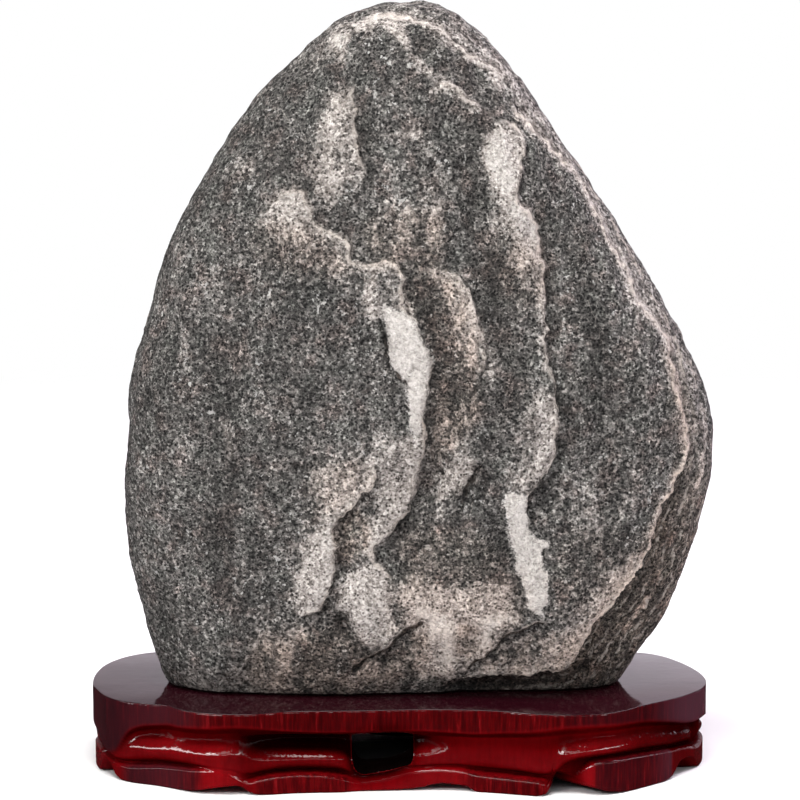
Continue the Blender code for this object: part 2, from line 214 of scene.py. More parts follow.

# Painted shade and sheen at the ends of the sawn rim and plate edge: from and to x, largest share,
# tint, blend
# Darker towards the left end, with a pinkish painted reflection at the right end
RIM_END_SHADE_AND_SHEEN = [
    (-72.0, -94.0, 0.55, (0.048, 0.013, 0.019), "MIX"),
    (-84.0, -118.0, 0.50, (0.10, 0.10, 0.13), "MULTIPLY"),
    (60.0, 76.0, 0.50, (0.016, 0.003, 0.005), "MIX"),
    (96.0, 116.0, 0.72, (0.060, 0.022, 0.032), "MIX"),
]

# Frontal outline of the stone around STONE_CENTRE, clockwise from the top, as (x, z)
STONE_OUTLINE = [
    (5, 306.5), (17, 304.5), (31, 295), (46, 277), (65, 249.5), (84, 221), (104, 188),
    (118, 161.5), (124.3, 141), (124.3, 123), (119.5, 99), (112, 74.5), (104, 58), (95, 45),
    (85, 31), (70, 24), (30, 20), (-40, 20), (-78, 23), (-91, 30), (-99, 45), (-104.5, 66),
    (-108, 83), (-110.4, 107), (-109.5, 130), (-107, 160), (-98.5, 188.5), (-91, 212.5),
    (-74, 244.5), (-58.5, 267.5), (-39.5, 286), (-25, 299), (-12, 304.7),
]

# What is worn into one face of the stone. All lines and outlines are (x, z) seen from the
# front. Ledge: broken edge of a layer, walked downwards with the lower face on its right;
# drop: depth of the step, reach: how far the face stays low, lip and spread: height and
# width of the swell before it. Swell: rounded ridge, or hollow where its height is negative.
# Vein: pale line that fades over one width to its left and another to its right; a weight
# above 1 turns milky. Patch: stained or worn field with a weight and a soft edge
Face = namedtuple("Face", "ledges swells veins cracks quartz pale brown")
Ledge = namedtuple("Ledge", "drop reach lip spread edge")
Swell = namedtuple("Swell", "height width line")
Vein = namedtuple("Vein", "weight left right line")
Patch = namedtuple("Patch", "weight softness outline")

# Crest where each face's right part turns to the side, from the top down, as (x, z)
CREST = [
    (40, 272), (46, 265.5), (54, 256), (61, 249), (68.5, 238), (75, 229.5), (81, 217),
    (87, 206.5), (91, 199), (93, 191.5), (100, 183), (104.5, 174), (107.5, 160), (111, 149),
    (113.2, 140), (112.5, 129.5), (108, 119), (101, 104), (97.5, 93), (96, 87.5), (90, 80),
    (84, 71.5), (77, 64.5), (73.5, 58), (69, 51.5), (67.5, 47), (62, 43.5), (52, 42.5),
    (40, 41.5), (26, 41), (14, 39.5),
]

FRONT_FACE = Face(
    ledges=[
        Ledge(2.4, 22, 0.4, 4, [(-50, 229), (-44.5, 235), (-41, 237), (-37.5, 235), (-36.5, 231),
            (-33, 224.5), (-26.5, 220), (-20.5, 217), (-19.5, 209), (-14, 208), (-4, 209),
            (0.5, 206), (0.8, 198), (2, 190), (6, 184.5), (8.5, 178), (12.5, 169), (11.5, 163),
            (9.5, 154), (9.3, 146), (9, 135), (5, 122), (2.8, 111)]),
        Ledge(2.8, 14, 0.5, 3, [(-9, 131), (-11.5, 123), (-15, 117.5), (-19, 112.5), (-24.5, 108),
            (-26.5, 103), (-25.7, 95), (-26, 86), (-28, 79), (-31.5, 72), (-37, 69), (-43, 70)]),
        Ledge(2.6, 10, 0.5, 3, [(9, 132), (7, 123), (4.5, 114), (1, 108), (-4, 103.5), (-8, 100),
            (-11, 95), (-9, 89), (-5, 86), (-3.5, 79)]),
        Ledge(1.8, 12, 0.5, 3, [(12, 209), (17, 206.5), (23, 202), (27.5, 195.5), (29, 189),
            (31, 183), (33, 175), (33.5, 164)]),
        Ledge(3.8, 24, 0.8, 5, [(37, 264), (43, 262.5), (47, 257), (48, 249), (46.5, 242),
            (45, 235), (46, 229), (50, 226.5), (52.5, 222), (54.5, 214), (55, 204), (56, 194),
            (55.3, 189), (57, 184), (56, 176), (58.5, 167), (59.8, 158), (60.7, 147), (60.5, 135),
            (58, 129), (53.5, 121), (50.5, 117), (50, 112), (51.5, 103)]),
        Ledge(5.5, 34, 2.8, 12, CREST),
        Ledge(2.0, 10, 0.8, 4, [(-21, 279), (-18.3, 275), (-17.8, 262), (-16.5, 254), (-15, 247),
            (-13, 241)]),
        Ledge(1.6, 10, 0.8, 3, [(10, 275), (14, 277), (20, 276), (25, 271.5), (31, 267.5),
            (37, 264)]),
        Ledge(2.0, 8, 0.6, 4, [(-20, 299), (-10, 302), (1, 302), (9, 300), (16, 296), (22, 291.5),
            (28, 286.5), (34, 283), (39, 278), (41, 272)]),
        Ledge(2.4, 12, 0.8, 4, [(12, 66), (6, 64.5), (0.5, 61), (-4, 56.5), (-9, 52.5),
            (-13, 49.8), (-19, 46)]),
        Ledge(3.0, 14, 0.8, 4, [(60, 67), (53, 64.8), (47, 62), (41, 60.5), (38, 55.5), (34, 51.5),
            (29, 47.5), (23, 42)]),
    ],
    swells=[
        Swell(-1.6, 5.0, [(8, 291), (15, 286), (22, 283), (28, 278), (33, 272)]),
        Swell(1.0, 2.4, [(-24, 296), (-15, 297.5), (-7, 299), (-1, 297.5), (2, 293), (5, 286)]),
        Swell(0.6, 1.6, [(-8, 256), (-2, 257), (5, 257), (10, 254), (13, 249)]),
        Swell(-1.6, 4.0, [(-15, 266), (-13, 255), (-12, 247), (-10, 239)]),
        Swell(-1.6, 5.0, [(29, 258), (27, 250), (27.5, 242), (29, 233), (31, 224), (34, 215),
            (37, 209)]),
        Swell(1.3, 6.0, [(38, 252), (40, 240), (44, 228), (48, 217), (49, 205), (50, 192)]),
        Swell(-1.2, 2.6, [(54, 226), (57.5, 217), (58, 205), (58.5, 192), (59.5, 178)]),
        Swell(-1.7, 5.0, [(31, 208), (34.5, 200), (37, 190), (39, 180), (41, 170), (41, 158),
            (38, 149)]),
        Swell(-1.2, 4.0, [(10, 189), (15, 177), (17, 166), (17, 155), (14, 146), (12, 137),
            (12, 128)]),
        Swell(1.0, 4.0, [(20, 198), (24, 190), (27, 180), (29, 170), (31, 160), (32, 150)]),
        Swell(-1.6, 4.5, [(13, 128), (10, 119), (7, 112), (2, 105), (-3, 98), (-1, 90), (1, 84)]),
        Swell(-1.4, 3.4, [(37, 106), (41, 96), (43, 88), (45, 80), (47, 73)]),
        Swell(-2.0, 4.0, [(-31, 71), (-26, 66), (-21, 60), (-14, 52), (-6, 50)]),
        Swell(-1.6, 3.6, [(-24, 66), (-28, 60), (-33, 53), (-38, 44)]),
        Swell(-1.5, 3.0, [(-22.5, 106), (-22.5, 97), (-23.0, 88)]),
        Swell(1.1, 6.0, [(-10, 44), (0, 48), (8, 54), (14, 60)]),
        Swell(1.0, 4.0, [(18, 46), (20, 56), (16, 64), (8, 71)]),
        Swell(-1.2, 3.4, [(25.5, 66), (26, 58), (24, 52)]),
        Swell(1.0, 3.0, [(31, 51), (33, 58), (33, 64), (38, 67)]),
        Swell(1.0, 4.0, [(50, 152), (54, 142), (54, 131), (47, 122)]),
        Swell(-1.2, 5.0, [(36, 134), (31, 123), (26, 114), (20, 106), (12, 98)]),
        Swell(1.0, 5.0, [(24, 131), (20, 121), (14, 110)]),
        Swell(-0.5, 9.0, [(6, 104), (14, 94), (20, 86)]),
        Swell(1.5, 9.0, [(-48, 226), (-34, 214), (-18, 202), (-10, 190)]),
        Swell(-1.2, 7.0, [(-52, 252), (-44, 244), (-32, 234)]),
        Swell(-0.9, 3.0, [(-8, 190), (-7.5, 180), (-7, 172), (-3, 163)]),
        Swell(1.0, 7.0, [(-88, 212), (-84, 180), (-86, 140), (-90, 110)]),
        Swell(-0.8, 6.0, [(-66, 196), (-70, 160), (-66, 124), (-72, 92)]),
        Swell(0.9, 8.0, [(-36, 176), (-44, 146), (-52, 112), (-60, 82), (-66, 54)]),
        Swell(-2.6, 3.0, [(15, 35.5), (28, 37), (42, 37.5), (56, 38.5), (66, 40), (74, 44)]),
        Swell(-0.8, 5.0, [(68, 214), (74, 184), (78, 152), (80, 124), (76, 98)]),
        Swell(0.9, 6.0, [(84, 190), (92, 164), (94, 140), (88, 112)]),
    ],
    veins=[
        Vein(0.9, 10.0, 0.6, [(-51, 230), (-44, 235.5), (-40, 237), (-36.5, 234), (-35, 229),
            (-34, 222)]),
        Vein(0.8, 3.4, 1.0, [(-34, 224), (-27, 220.5), (-20, 217.5), (-19.5, 210)]),
        Vein(1.05, 1.6, 0.8, [(-22, 209), (-13, 207.5), (-6, 208), (0, 207.5)]),
        Vein(0.8, 2.0, 1.6, [(-12, 208), (-11, 201), (-12.5, 195), (-9.5, 190), (-6, 188)]),
        Vein(0.9, 2.2, 1.0, [(-2, 208), (1.5, 203), (1.5, 196), (3, 191.5), (6, 187)]),
        Vein(0.85, 3.2, 0.8, [(13, 206), (18, 204.5), (23, 201.5), (27, 196), (29, 190), (31, 184),
            (33, 177)]),
        Vein(0.55, 4.0, 2.0, [(33, 179), (36, 171), (34.5, 162)]),
        Vein(1.1, 4.0, 2.5, [(37, 260), (36.5, 248), (39, 241), (42, 233)]),
        Vein(0.95, 11.0, 0.7, [(42, 234), (46, 229), (50, 226.5), (53, 221), (54.5, 213),
            (54.8, 205)]),
        Vein(0.8, 2.4, 0.6, [(54.8, 208), (55.2, 195), (56, 188), (55.5, 180), (57, 172),
            (58, 161)]),
        Vein(0.72, 10.0, 0.7, [(58, 160), (60, 154), (60.7, 146), (60.3, 136), (57.5, 128),
            (52, 121)]),
        Vein(1.15, 1.8, 1.0, [(-19, 298.5), (-10, 301), (0, 301.5), (8, 300), (15, 296), (22, 291),
            (28, 286), (33, 283), (37, 279), (38.5, 275), (37, 271)]),
        Vein(0.9, 2.4, 1.4, [(-8, 299), (-1, 297), (2, 292.5), (2.5, 287)]),
        Vein(0.72, 2.2, 1.0, [(12, 272), (14, 276), (18, 276.5), (23, 273), (28, 269.5),
            (33, 266)]),
        Vein(0.5, 3.0, 2.0, [(2, 291), (8, 284), (14, 279), (18, 276)]),
        Vein(0.55, 11.0, 0.7, [(-18, 276), (-17.6, 262), (-16, 252), (-13.5, 241)]),
        Vein(0.7, 5.0, 3.0, [(-19, 276), (-26, 264), (-28, 252), (-27, 240), (-29, 232)]),
        Vein(1.0, 2.6, 1.0, [(46, 266), (55, 256), (62, 248), (69, 238), (76, 229), (82, 217),
            (88, 206), (91.5, 198)]),
        Vein(1.12, 3.0, 1.2, [(91.5, 199), (93.5, 191.5), (100.5, 183), (105, 174), (108, 160),
            (111.5, 149), (113, 138)]),
        Vein(1.05, 2.2, 0.9, [(113, 142), (112.5, 129.5), (108, 119), (101, 104), (97.5, 92)]),
        Vein(1.15, 8.0, 0.9, [(97, 92), (92, 83), (86, 75), (80, 68), (75, 61.5), (71, 54),
            (67, 49)]),
        Vein(0.9, 5.0, 0.8, [(70, 53), (65, 47), (56, 44.5), (44, 43.5), (30, 43)]),
        Vein(0.95, 5.0, 0.7, [(-10, 134), (-11.5, 124), (-14.5, 118.5), (-19, 113.5),
            (-24.5, 109)]),
        Vein(0.98, 13.0, 0.7, [(-30, 107), (-27, 101), (-26.3, 94), (-26, 87), (-28, 80),
            (-31, 73), (-36, 69.5), (-42, 70)]),
        Vein(0.9, 9.0, 0.8, [(9, 145), (8.8, 136), (6.5, 126), (4, 119), (2.5, 112), (-1, 106.5),
            (-6, 102), (-10, 97), (-11, 91)]),
        Vein(0.9, 3.0, 2.2, [(4, 72), (10, 69), (14, 63), (17.5, 57), (19, 50), (17.5, 45)]),
        Vein(0.9, 2.6, 1.8, [(42, 67), (35, 63), (33, 57), (31, 51)]),
        Vein(0.75, 4.0, 3.0, [(4, 71), (12, 68), (20, 65), (30, 66), (40, 68), (50, 67)]),
        Vein(0.7, 4.0, 3.0, [(-38, 66), (-42, 58), (-46, 48), (-48, 40)]),
        Vein(0.5, 3.0, 3.0, [(-71, 150), (-67, 136), (-70, 124)]),
        Vein(0.45, 4.0, 4.0, [(-56, 250), (-62, 243), (-70, 238)]),
        Vein(0.45, 3.0, 3.0, [(7, 240), (12, 236), (13, 229), (12, 221), (16, 214)]),
        Vein(0.5, 1.6, 1.6, [(-8, 256), (-2, 257.5), (6, 257), (9.5, 252)]),
        Vein(0.75, 1.6, 1.4, [(104, 80), (98, 70), (93, 63), (88, 54)]),
        Vein(0.8, 1.2, 1.2, [(119, 150), (120.5, 138), (119.5, 124), (117, 112)]),
    ],
    cracks=[
        [(-7, 188), (-6.2, 178), (-5.2, 171.5), (-0.8, 165), (2, 157)],
        [(34, 132), (30, 126.5), (26, 120), (24.5, 114), (21, 108)],
        [(12, 66), (6, 64.5), (0.5, 61), (-4, 56.5), (-9, 52.5), (-16, 47.5), (-27, 41.5)],
        [(60, 67), (53, 64.8), (47, 62), (41, 60.5), (38, 55.5), (34, 51.5), (29, 47.5), (23, 42)],
    ],
    quartz=[
        [(-7.5, 193), (-3, 191.5), (1.5, 189.5), (5, 185.5), (7.5, 182), (8, 178.5), (10.5, 174),
            (12.5, 169), (11.5, 163.5), (10, 158.5), (9.7, 148), (7.8, 145), (6, 138.5),
            (3.6, 145), (3, 154.5), (2, 158.5), (-0.3, 163.5), (-2.5, 168.5), (-4.7, 172),
            (-5.5, 178), (-5.3, 184)],
        [(40, 119), (40.5, 114.5), (40.5, 109), (42, 101.5), (44.5, 92), (46.5, 85.5), (49, 79),
            (50, 72), (52.5, 69), (56, 70.5), (58, 74.5), (57, 78), (57.5, 83), (58, 86.5),
            (56, 89.5), (54.5, 94.5), (57.5, 98), (55.5, 99.5), (51, 101.5), (50.5, 106),
            (49.5, 112.5), (48.5, 117.5)],
    ],
    pale=[
        Patch(0.4, 3.0, [(-56, 224), (-52.5, 228.5), (-47.5, 231), (-44.5, 235), (-41, 237),
            (-38, 235.5), (-37, 231.5), (-34.5, 230), (-35, 224.5), (-38, 219.5), (-45, 217.5),
            (-50.5, 219)]),
        Patch(0.2, 4.0, [(-20, 210.5), (-3, 210), (2, 206), (3.5, 192), (-6, 188), (-13, 192),
            (-12.5, 200), (-22, 207)]),
        Patch(0.55, 4.0, [(-32.5, 105.5), (-26, 104.5), (-26, 88), (-29, 77), (-31.5, 71.5),
            (-42, 69.5), (-44, 75), (-42, 84), (-39, 96)]),
        Patch(0.45, 4.0, [(-9, 138), (1.5, 140), (8.5, 138), (7.5, 128), (4.5, 121), (0.5, 113),
            (-8, 106), (-11, 118)]),
        Patch(0.95, 3.0, [(-20.5, 86), (-14, 89.5), (-7, 87.5), (-4, 81.5), (-3, 72), (-0.5, 65.5),
            (-1, 61.5), (-5.5, 57.5), (-10.5, 56), (-15, 58), (-18.5, 63.5), (-20, 67.5),
            (-23.5, 69.5), (-25.5, 73.5), (-24, 81)]),
        Patch(0.78, 5.0, [(-2, 78), (6.5, 84), (21.5, 80), (33.5, 84), (42.5, 82), (46.5, 76),
            (46, 66.5), (40.5, 61.5), (35.5, 54.5), (28, 47), (22, 42.5), (6.5, 41), (8, 56),
            (2, 64)]),
        Patch(0.35, 4.0, [(50, 158), (60.5, 158), (60.5, 134), (56.5, 124), (50.5, 119), (40, 117),
            (38.5, 126), (43, 134), (44, 146)]),
        Patch(0.95, 2.2, [(33.5, 256.5), (37.5, 261), (43, 261.5), (46.5, 256), (47.5, 249),
            (46, 243), (43, 236), (39, 238), (34, 243), (32, 251)]),
        Patch(0.4, 5.0, [(36, 241), (43, 241), (45, 231), (50.5, 226.5), (54, 217.5), (55, 200),
            (48, 200), (41, 213), (37, 226)]),
        Patch(0.46, 5.0, [(-19, 275), (-17, 272.5), (-17, 255.5), (-15, 240.5), (-24, 232),
            (-34, 234), (-37, 246), (-32, 261), (-25, 270)]),
        Patch(1.1, 2.0, [(-28, 295), (-21, 295.5), (-21.5, 290), (-24, 284.5), (-26, 289)]),
        Patch(0.44, 5.0, [(-44, 282), (-20, 300), (5, 307), (24, 301), (44, 284), (62, 257),
            (80, 229), (95, 204), (106, 186), (116, 164), (119, 150), (117, 130), (114, 118),
            (113, 124), (113, 140), (107, 160), (102, 174), (92, 191), (86, 206), (74, 229),
            (60, 249), (44, 268), (36, 278), (22, 289), (6, 297), (-14, 296), (-30, 284)]),
        Patch(0.32, 8.0, [(-30, 112), (-16, 140), (2, 146), (6, 130), (-8, 108), (-22, 96)]),
        Patch(0.34, 4.5, [(-36, 126), (-22, 131), (-14, 124), (-22, 111), (-35, 109)]),
        Patch(0.35, 6.0, [(-60, 60), (-40, 68), (-42, 50), (-48, 36), (-58, 36)]),
        Patch(0.14, 5.0, [(-58, 236), (-44, 240), (-30, 222), (-22, 204), (-48, 212)]),
        Patch(0.54, 4.0, [(12, 206), (22, 203), (28, 194), (31, 178), (30, 164), (23, 172),
            (18, 190)]),
        Patch(0.55, 3.5, [(20, 130), (29, 131), (30, 124), (25, 117), (18, 119)]),
        Patch(0.42, 4.0, [(40, 47), (62, 47), (69, 54), (62, 62), (50, 61), (41, 56)]),
        Patch(0.2, 8.0, [(-74, 210), (-58, 216), (-52, 204), (-64, 192), (-76, 198)]),
        Patch(0.18, 9.0, [(-12, 262), (20, 262), (22, 230), (14, 206), (-12, 212)]),
        Patch(0.3, 8.0, [(10, 160), (30, 150), (30, 126), (14, 110), (8, 130)]),
        Patch(0.28, 9.0, [(-8, 232), (14, 236), (16, 214), (2, 208), (-10, 214)]),
        Patch(0.4, 5.0, [(-88, 44), (-60, 46), (-20, 46), (0, 42), (-4, 30), (-80, 30)]),
        Patch(0.26, 9.0, [(60, 120), (84, 126), (88, 108), (72, 94), (60, 100)]),
    ],
    brown=[
        Patch(0.7, 4.0, [(8, 206), (22, 200), (28, 188), (31, 175), (32, 160), (30, 148),
            (14, 130), (9, 146), (13, 168), (9, 184), (3, 196)]),
        Patch(0.4, 4.0, [(-36, 128), (-18, 132), (-12, 124), (-25, 110), (-36, 108)]),
        Patch(0.9, 2.0, [(-25, 106), (-18, 112), (-12, 104), (-15, 95), (-22, 88), (-26, 96)]),
        Patch(0.8, 3.0, [(-6, 40), (8, 42), (10, 60), (2, 61), (-6, 52)]),
        Patch(0.6, 4.0, [(0, 100), (20, 106), (38, 98), (40, 84), (20, 82), (4, 84)]),
        Patch(0.9, 2.0, [(22, 64), (29, 64), (29.5, 54), (25, 49), (22, 54)]),
        Patch(0.7, 4.0, [(30, 44), (50, 44), (66, 46), (72, 58), (58, 62), (42, 56)]),
        Patch(0.5, 4.0, [(-58, 222), (-36, 222), (-20, 206), (-40, 203), (-56, 210)]),
        Patch(0.6, 5.0, [(-14, 226), (14, 228), (14, 206), (-10, 211)]),
        Patch(0.5, 5.0, [(34, 216), (54, 214), (55, 194), (38, 196)]),
        Patch(0.9, 6.0, [(-56, 58), (-24, 62), (-8, 50), (-6, 34), (-56, 34)]),
        Patch(0.5, 6.0, [(-4, 80), (20, 88), (46, 86), (48, 62), (28, 44), (4, 40)]),
        Patch(0.7, 3.0, [(104, 176), (110, 162), (115, 140), (110, 118), (99, 90), (88, 74),
            (76, 56), (68, 44), (40, 42), (62, 52), (72, 66), (86, 84), (97, 102), (108, 128),
            (106, 152)]),
        Patch(0.4, 6.0, [(60, 98), (92, 100), (92, 84), (74, 66), (60, 68)]),
    ],
)

BACK_FACE = Face(
    ledges=[
        Ledge(3.0, 24, 0.8, 8, [(-30, 268), (-22, 250), (-26, 232), (-14, 214), (-12, 192),
            (-2, 176), (-6, 150), (4, 132), (2, 108), (12, 88), (8, 62), (14, 40)]),
        Ledge(3.6, 26, 0.8, 8, [(32, 276), (40, 258), (38, 238), (52, 220), (56, 196), (66, 178),
            (64, 150), (74, 126), (70, 100), (62, 84), (60, 60)]),
        Ledge(2.2, 16, 0.6, 6, [(-66, 232), (-58, 206), (-62, 182), (-50, 158), (-54, 128)]),
        Ledge(2.8, 14, 0.5, 6, [(-20, 96), (-34, 84), (-44, 66), (-60, 56), (-72, 42)]),
    ],
    swells=[
        Swell(-1.6, 6.0, [(-4, 250), (2, 226), (10, 204), (12, 180)]),
        Swell(1.6, 8.0, [(24, 240), (30, 210), (38, 180), (44, 150)]),
        Swell(-1.4, 6.0, [(28, 128), (34, 104), (30, 80)]),
        Swell(1.4, 9.0, [(-70, 160), (-76, 130), (-70, 100)]),
        Swell(-1.4, 6.0, [(84, 150), (90, 124), (84, 100)]),
    ],
    veins=[
        Vein(0.9, 7.0, 0.8, [(-28, 266), (-22, 250), (-26, 232), (-15, 216), (-12, 196)]),
        Vein(0.9, 6.0, 0.8, [(-7, 152), (3.5, 132), (1.5, 108), (11, 88), (8, 66)]),
        Vein(0.8, 8.0, 0.8, [(39, 256), (38, 238), (51, 220), (55, 198), (64, 180)]),
        Vein(0.8, 7.0, 0.8, [(-59, 206), (-62, 182), (-51, 158), (-54, 134)]),
        Vein(0.8, 4.0, 2.0, [(66, 86), (60, 66), (44, 52), (20, 44)]),
    ],
    cracks=[
        [(-44, 214), (-38, 198), (-40, 184), (-32, 170)],
        [(30, 70), (22, 60), (18, 48), (6, 40)],
    ],
    quartz=[
        [(-14, 186), (-8, 182), (-4, 170), (-6, 158), (-8, 148), (-12, 158), (-14, 172)],
        [(62, 150), (65, 146), (70, 128), (68, 112), (64, 108), (62, 122), (58, 138)],
    ],
    pale=[
        Patch(0.55, 4.0, [(-34, 262), (-26, 258), (-24, 240), (-30, 232), (-38, 244)]),
        Patch(0.45, 6.0, [(20, 64), (44, 70), (58, 58), (40, 42), (14, 44)]),
        Patch(0.4, 8.0, [(-44, 284), (-20, 300), (5, 307), (24, 301), (44, 284), (4, 282)]),
        Patch(0.35, 8.0, [(36, 190), (62, 176), (60, 150), (40, 150)]),
    ],
    brown=[
        Patch(0.8, 8.0, [(-10, 210), (30, 220), (44, 170), (20, 130), (-2, 140)]),
        Patch(0.7, 8.0, [(60, 120), (100, 130), (100, 80), (70, 60)]),
        Patch(0.7, 8.0, [(-80, 90), (-40, 80), (-30, 40), (-80, 40)]),
    ],
)

# Each face: its side on Y, a place of its own in the noise, and its wear
FACES = ((-1.0, -20.0, FRONT_FACE), (1.0, 40.0, BACK_FACE))

# Where two marks overlap, the weaker one adds this share
OVERLAP = 0.35
# A crack: depth, half width and how far from it its darkness is measured
CRACK_DEPTH = 0.9
CRACK_WIDTH = 0.9
CRACK_REACH = 8.0
# Quartz stands proud by a height, over a shoulder
QUARTZ_RISE = 0.7
QUARTZ_SHOULDER = 4.0
# What a swell one mm high adds to its ridge's paleness (wear and painted light), or to its
# hollow's painted shade
RIDGE_WEAR_AND_LIGHT = 0.16
HOLLOW_PAINTED_SHADE = 0.36
# Longest distance that a mark's attribute holds, and one that is always farther
MARK_REACH = 8.0
FAR = 99.0


def smooth(value):
    """Eased step from 0 to 1, for numbers or arrays."""
    value = np.clip(value, 0.0, 1.0)
    return value * value * (3.0 - 2.0 * value)


def spline_through(points, steps, closed):
    """Catmull-Rom curve through points, as an array of positions."""
    points = np.array(points, dtype=float)
    if closed:
        padded = np.vstack([points[-1:], points, points[:2]])
    else:
        padded = np.vstack([2 * points[0] - points[1], points, 2 * points[-1] - points[-2]])
    curve = []
    for before, start, end, after in zip(padded, padded[1:], padded[2:], padded[3:]):
        for t in np.arange(steps) / steps:
            curve.append(
                0.5 * (2 * start + (end - before) * t
                       + (2 * before - 5 * start + 4 * end - after) * t * t
                       + (3 * start - before - 3 * end + after) * t ** 3)
            )
    if not closed:
        curve.append(points[-1])
    return np.array(curve)


def perlin(points, size, seed=0.0):
    """Gradient noise at points, with features of a size in the points' unit."""
    return np.array([noise.noise(Vector(point)) for point in points / size + seed])


Nearness = namedtuple("Nearness", "distance side inner")


def line_nearness(points, line):
    """Distance to a line, its side (1 towards +X of a line that runs down) and end distance."""
    best = np.full(len(points), 1e9)
    side = np.ones(len(points))
    place = np.zeros(len(points))
    lengths = np.linalg.norm(np.diff(line, axis=0), axis=1)
    walked = np.concatenate([[0.0], np.cumsum(lengths)])
    for i, (start, end) in enumerate(zip(line, line[1:])):
        along = end - start
        offset = points - start
        t = np.clip(offset @ along / (along @ along), 0.0, 1.0)
        gap = offset - t[:, None] * along
        distance = np.hypot(gap[:, 0], gap[:, 1])
        closer = distance < best - 1e-9
        cross = offset[:, 0] * along[1] - offset[:, 1] * along[0]
        best = np.where(closer, distance, best)
        side = np.where(closer, -np.sign(cross), side)
        place = np.where(closer, walked[i] + t * lengths[i], place)
    return Nearness(best, side, np.minimum(place, walked[-1] - place))


def near_curve(points, line, steps=4):
    """Nearness of points to the curve through a line's points."""
    return line_nearness(points, spline_through(line, steps, closed=False))


def depth_inside(points, outline, steps=3):
    """Signed distance to the closed curve through an outline's points, positive inside."""
    curve = spline_through(outline, steps, closed=True)
    loop = np.vstack([curve, curve[:1]])
    distance = line_nearness(points, loop).distance
    inside = np.zeros(len(points), dtype=bool)
    for (x0, z0), (x1, z1) in zip(loop, loop[1:]):
        if z1 != z0:
            spans = (z0 > points[:, 1]) != (z1 > points[:, 1])
            inside ^= spans & (points[:, 0] < (x1 - x0) * (points[:, 1] - z0) / (z1 - z0) + x0)
    return np.where(inside, distance, -distance)


def superellipse(half_length, half_depth, squareness, angle):
    cosine = np.cos(angle)
    sine = np.sin(angle)
    power = 2.0 / squareness
    return (
        half_length * np.copysign(np.abs(cosine) ** power, cosine),
        half_depth * np.copysign(np.abs(sine) ** power, sine),
    )


def bridge(builder, rings):
    """Band of faces between each closed ring and the next, as a list of faces for each."""
    bands = []
    for upper, lower in zip(rings, rings[1:]):
        corners = zip(upper, lower, lower[1:] + lower[:1], upper[1:] + upper[:1])
        bands.append([builder.faces.new(four) for four in corners])
    return bands


def finished_mesh(name, builder):
    """Mesh of what was built, with its faces turned outwards."""
    bmesh.ops.recalc_face_normals(builder, faces=builder.faces)
    mesh = bpy.data.meshes.new(name)
    builder.to_mesh(mesh)
    builder.free()
    return mesh


def add_object(name, mesh, *materials):
    for material in materials:
        mesh.materials.append(material)
    made = bpy.data.objects.new(name, mesh)
    bpy.context.scene.collection.objects.link(made)
    return made


def replace_node(piece, node):
    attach(piece, "root")
    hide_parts(node)


def stone_sphere():
    """Unit sphere with twice as fine a mesh on the stone's front."""
    builder = bmesh.new()
    level = 7
    bmesh.ops.create_icosphere(builder, subdivisions=level, radius=1.0)
    front = [
        edge for edge in builder.edges
        if edge.verts[0].co.y < -0.2 and edge.verts[1].co.y < -0.2
    ]
    bmesh.ops.subdivide_edges(builder, edges=front, cuts=1, use_grid_fill=True)
    bmesh.ops.triangulate(builder, faces=[face for face in builder.faces if len(face.verts) > 3])
    for vertex in builder.verts:
        vertex.co.normalize()
    return builder


def overlaid(total, weight):
    """Two weights laid over each other: the larger one and a part of the smaller."""
    return np.maximum(total, weight) + OVERLAP * np.minimum(total, weight)


def patch_weights(points, patches):
    total = np.zeros(len(points))
    for patch in patches:
        depth = depth_inside(points, patch.outline)
        total = overlaid(total, patch.weight * smooth(0.5 + depth / (2 * patch.softness)))
    return total


def vein_weights(points, veins):
    total = np.zeros(len(points))
    for vein in veins:
        near = near_curve(points, vein.line)
        width = np.where(near.side > 0, vein.right, vein.left)
        fade = np.exp(-((near.distance / width) ** 1.5)) * (0.25 + 0.75 * smooth(near.inner / 5.0))
        total = overlaid(total, vein.weight * fade)
    return total


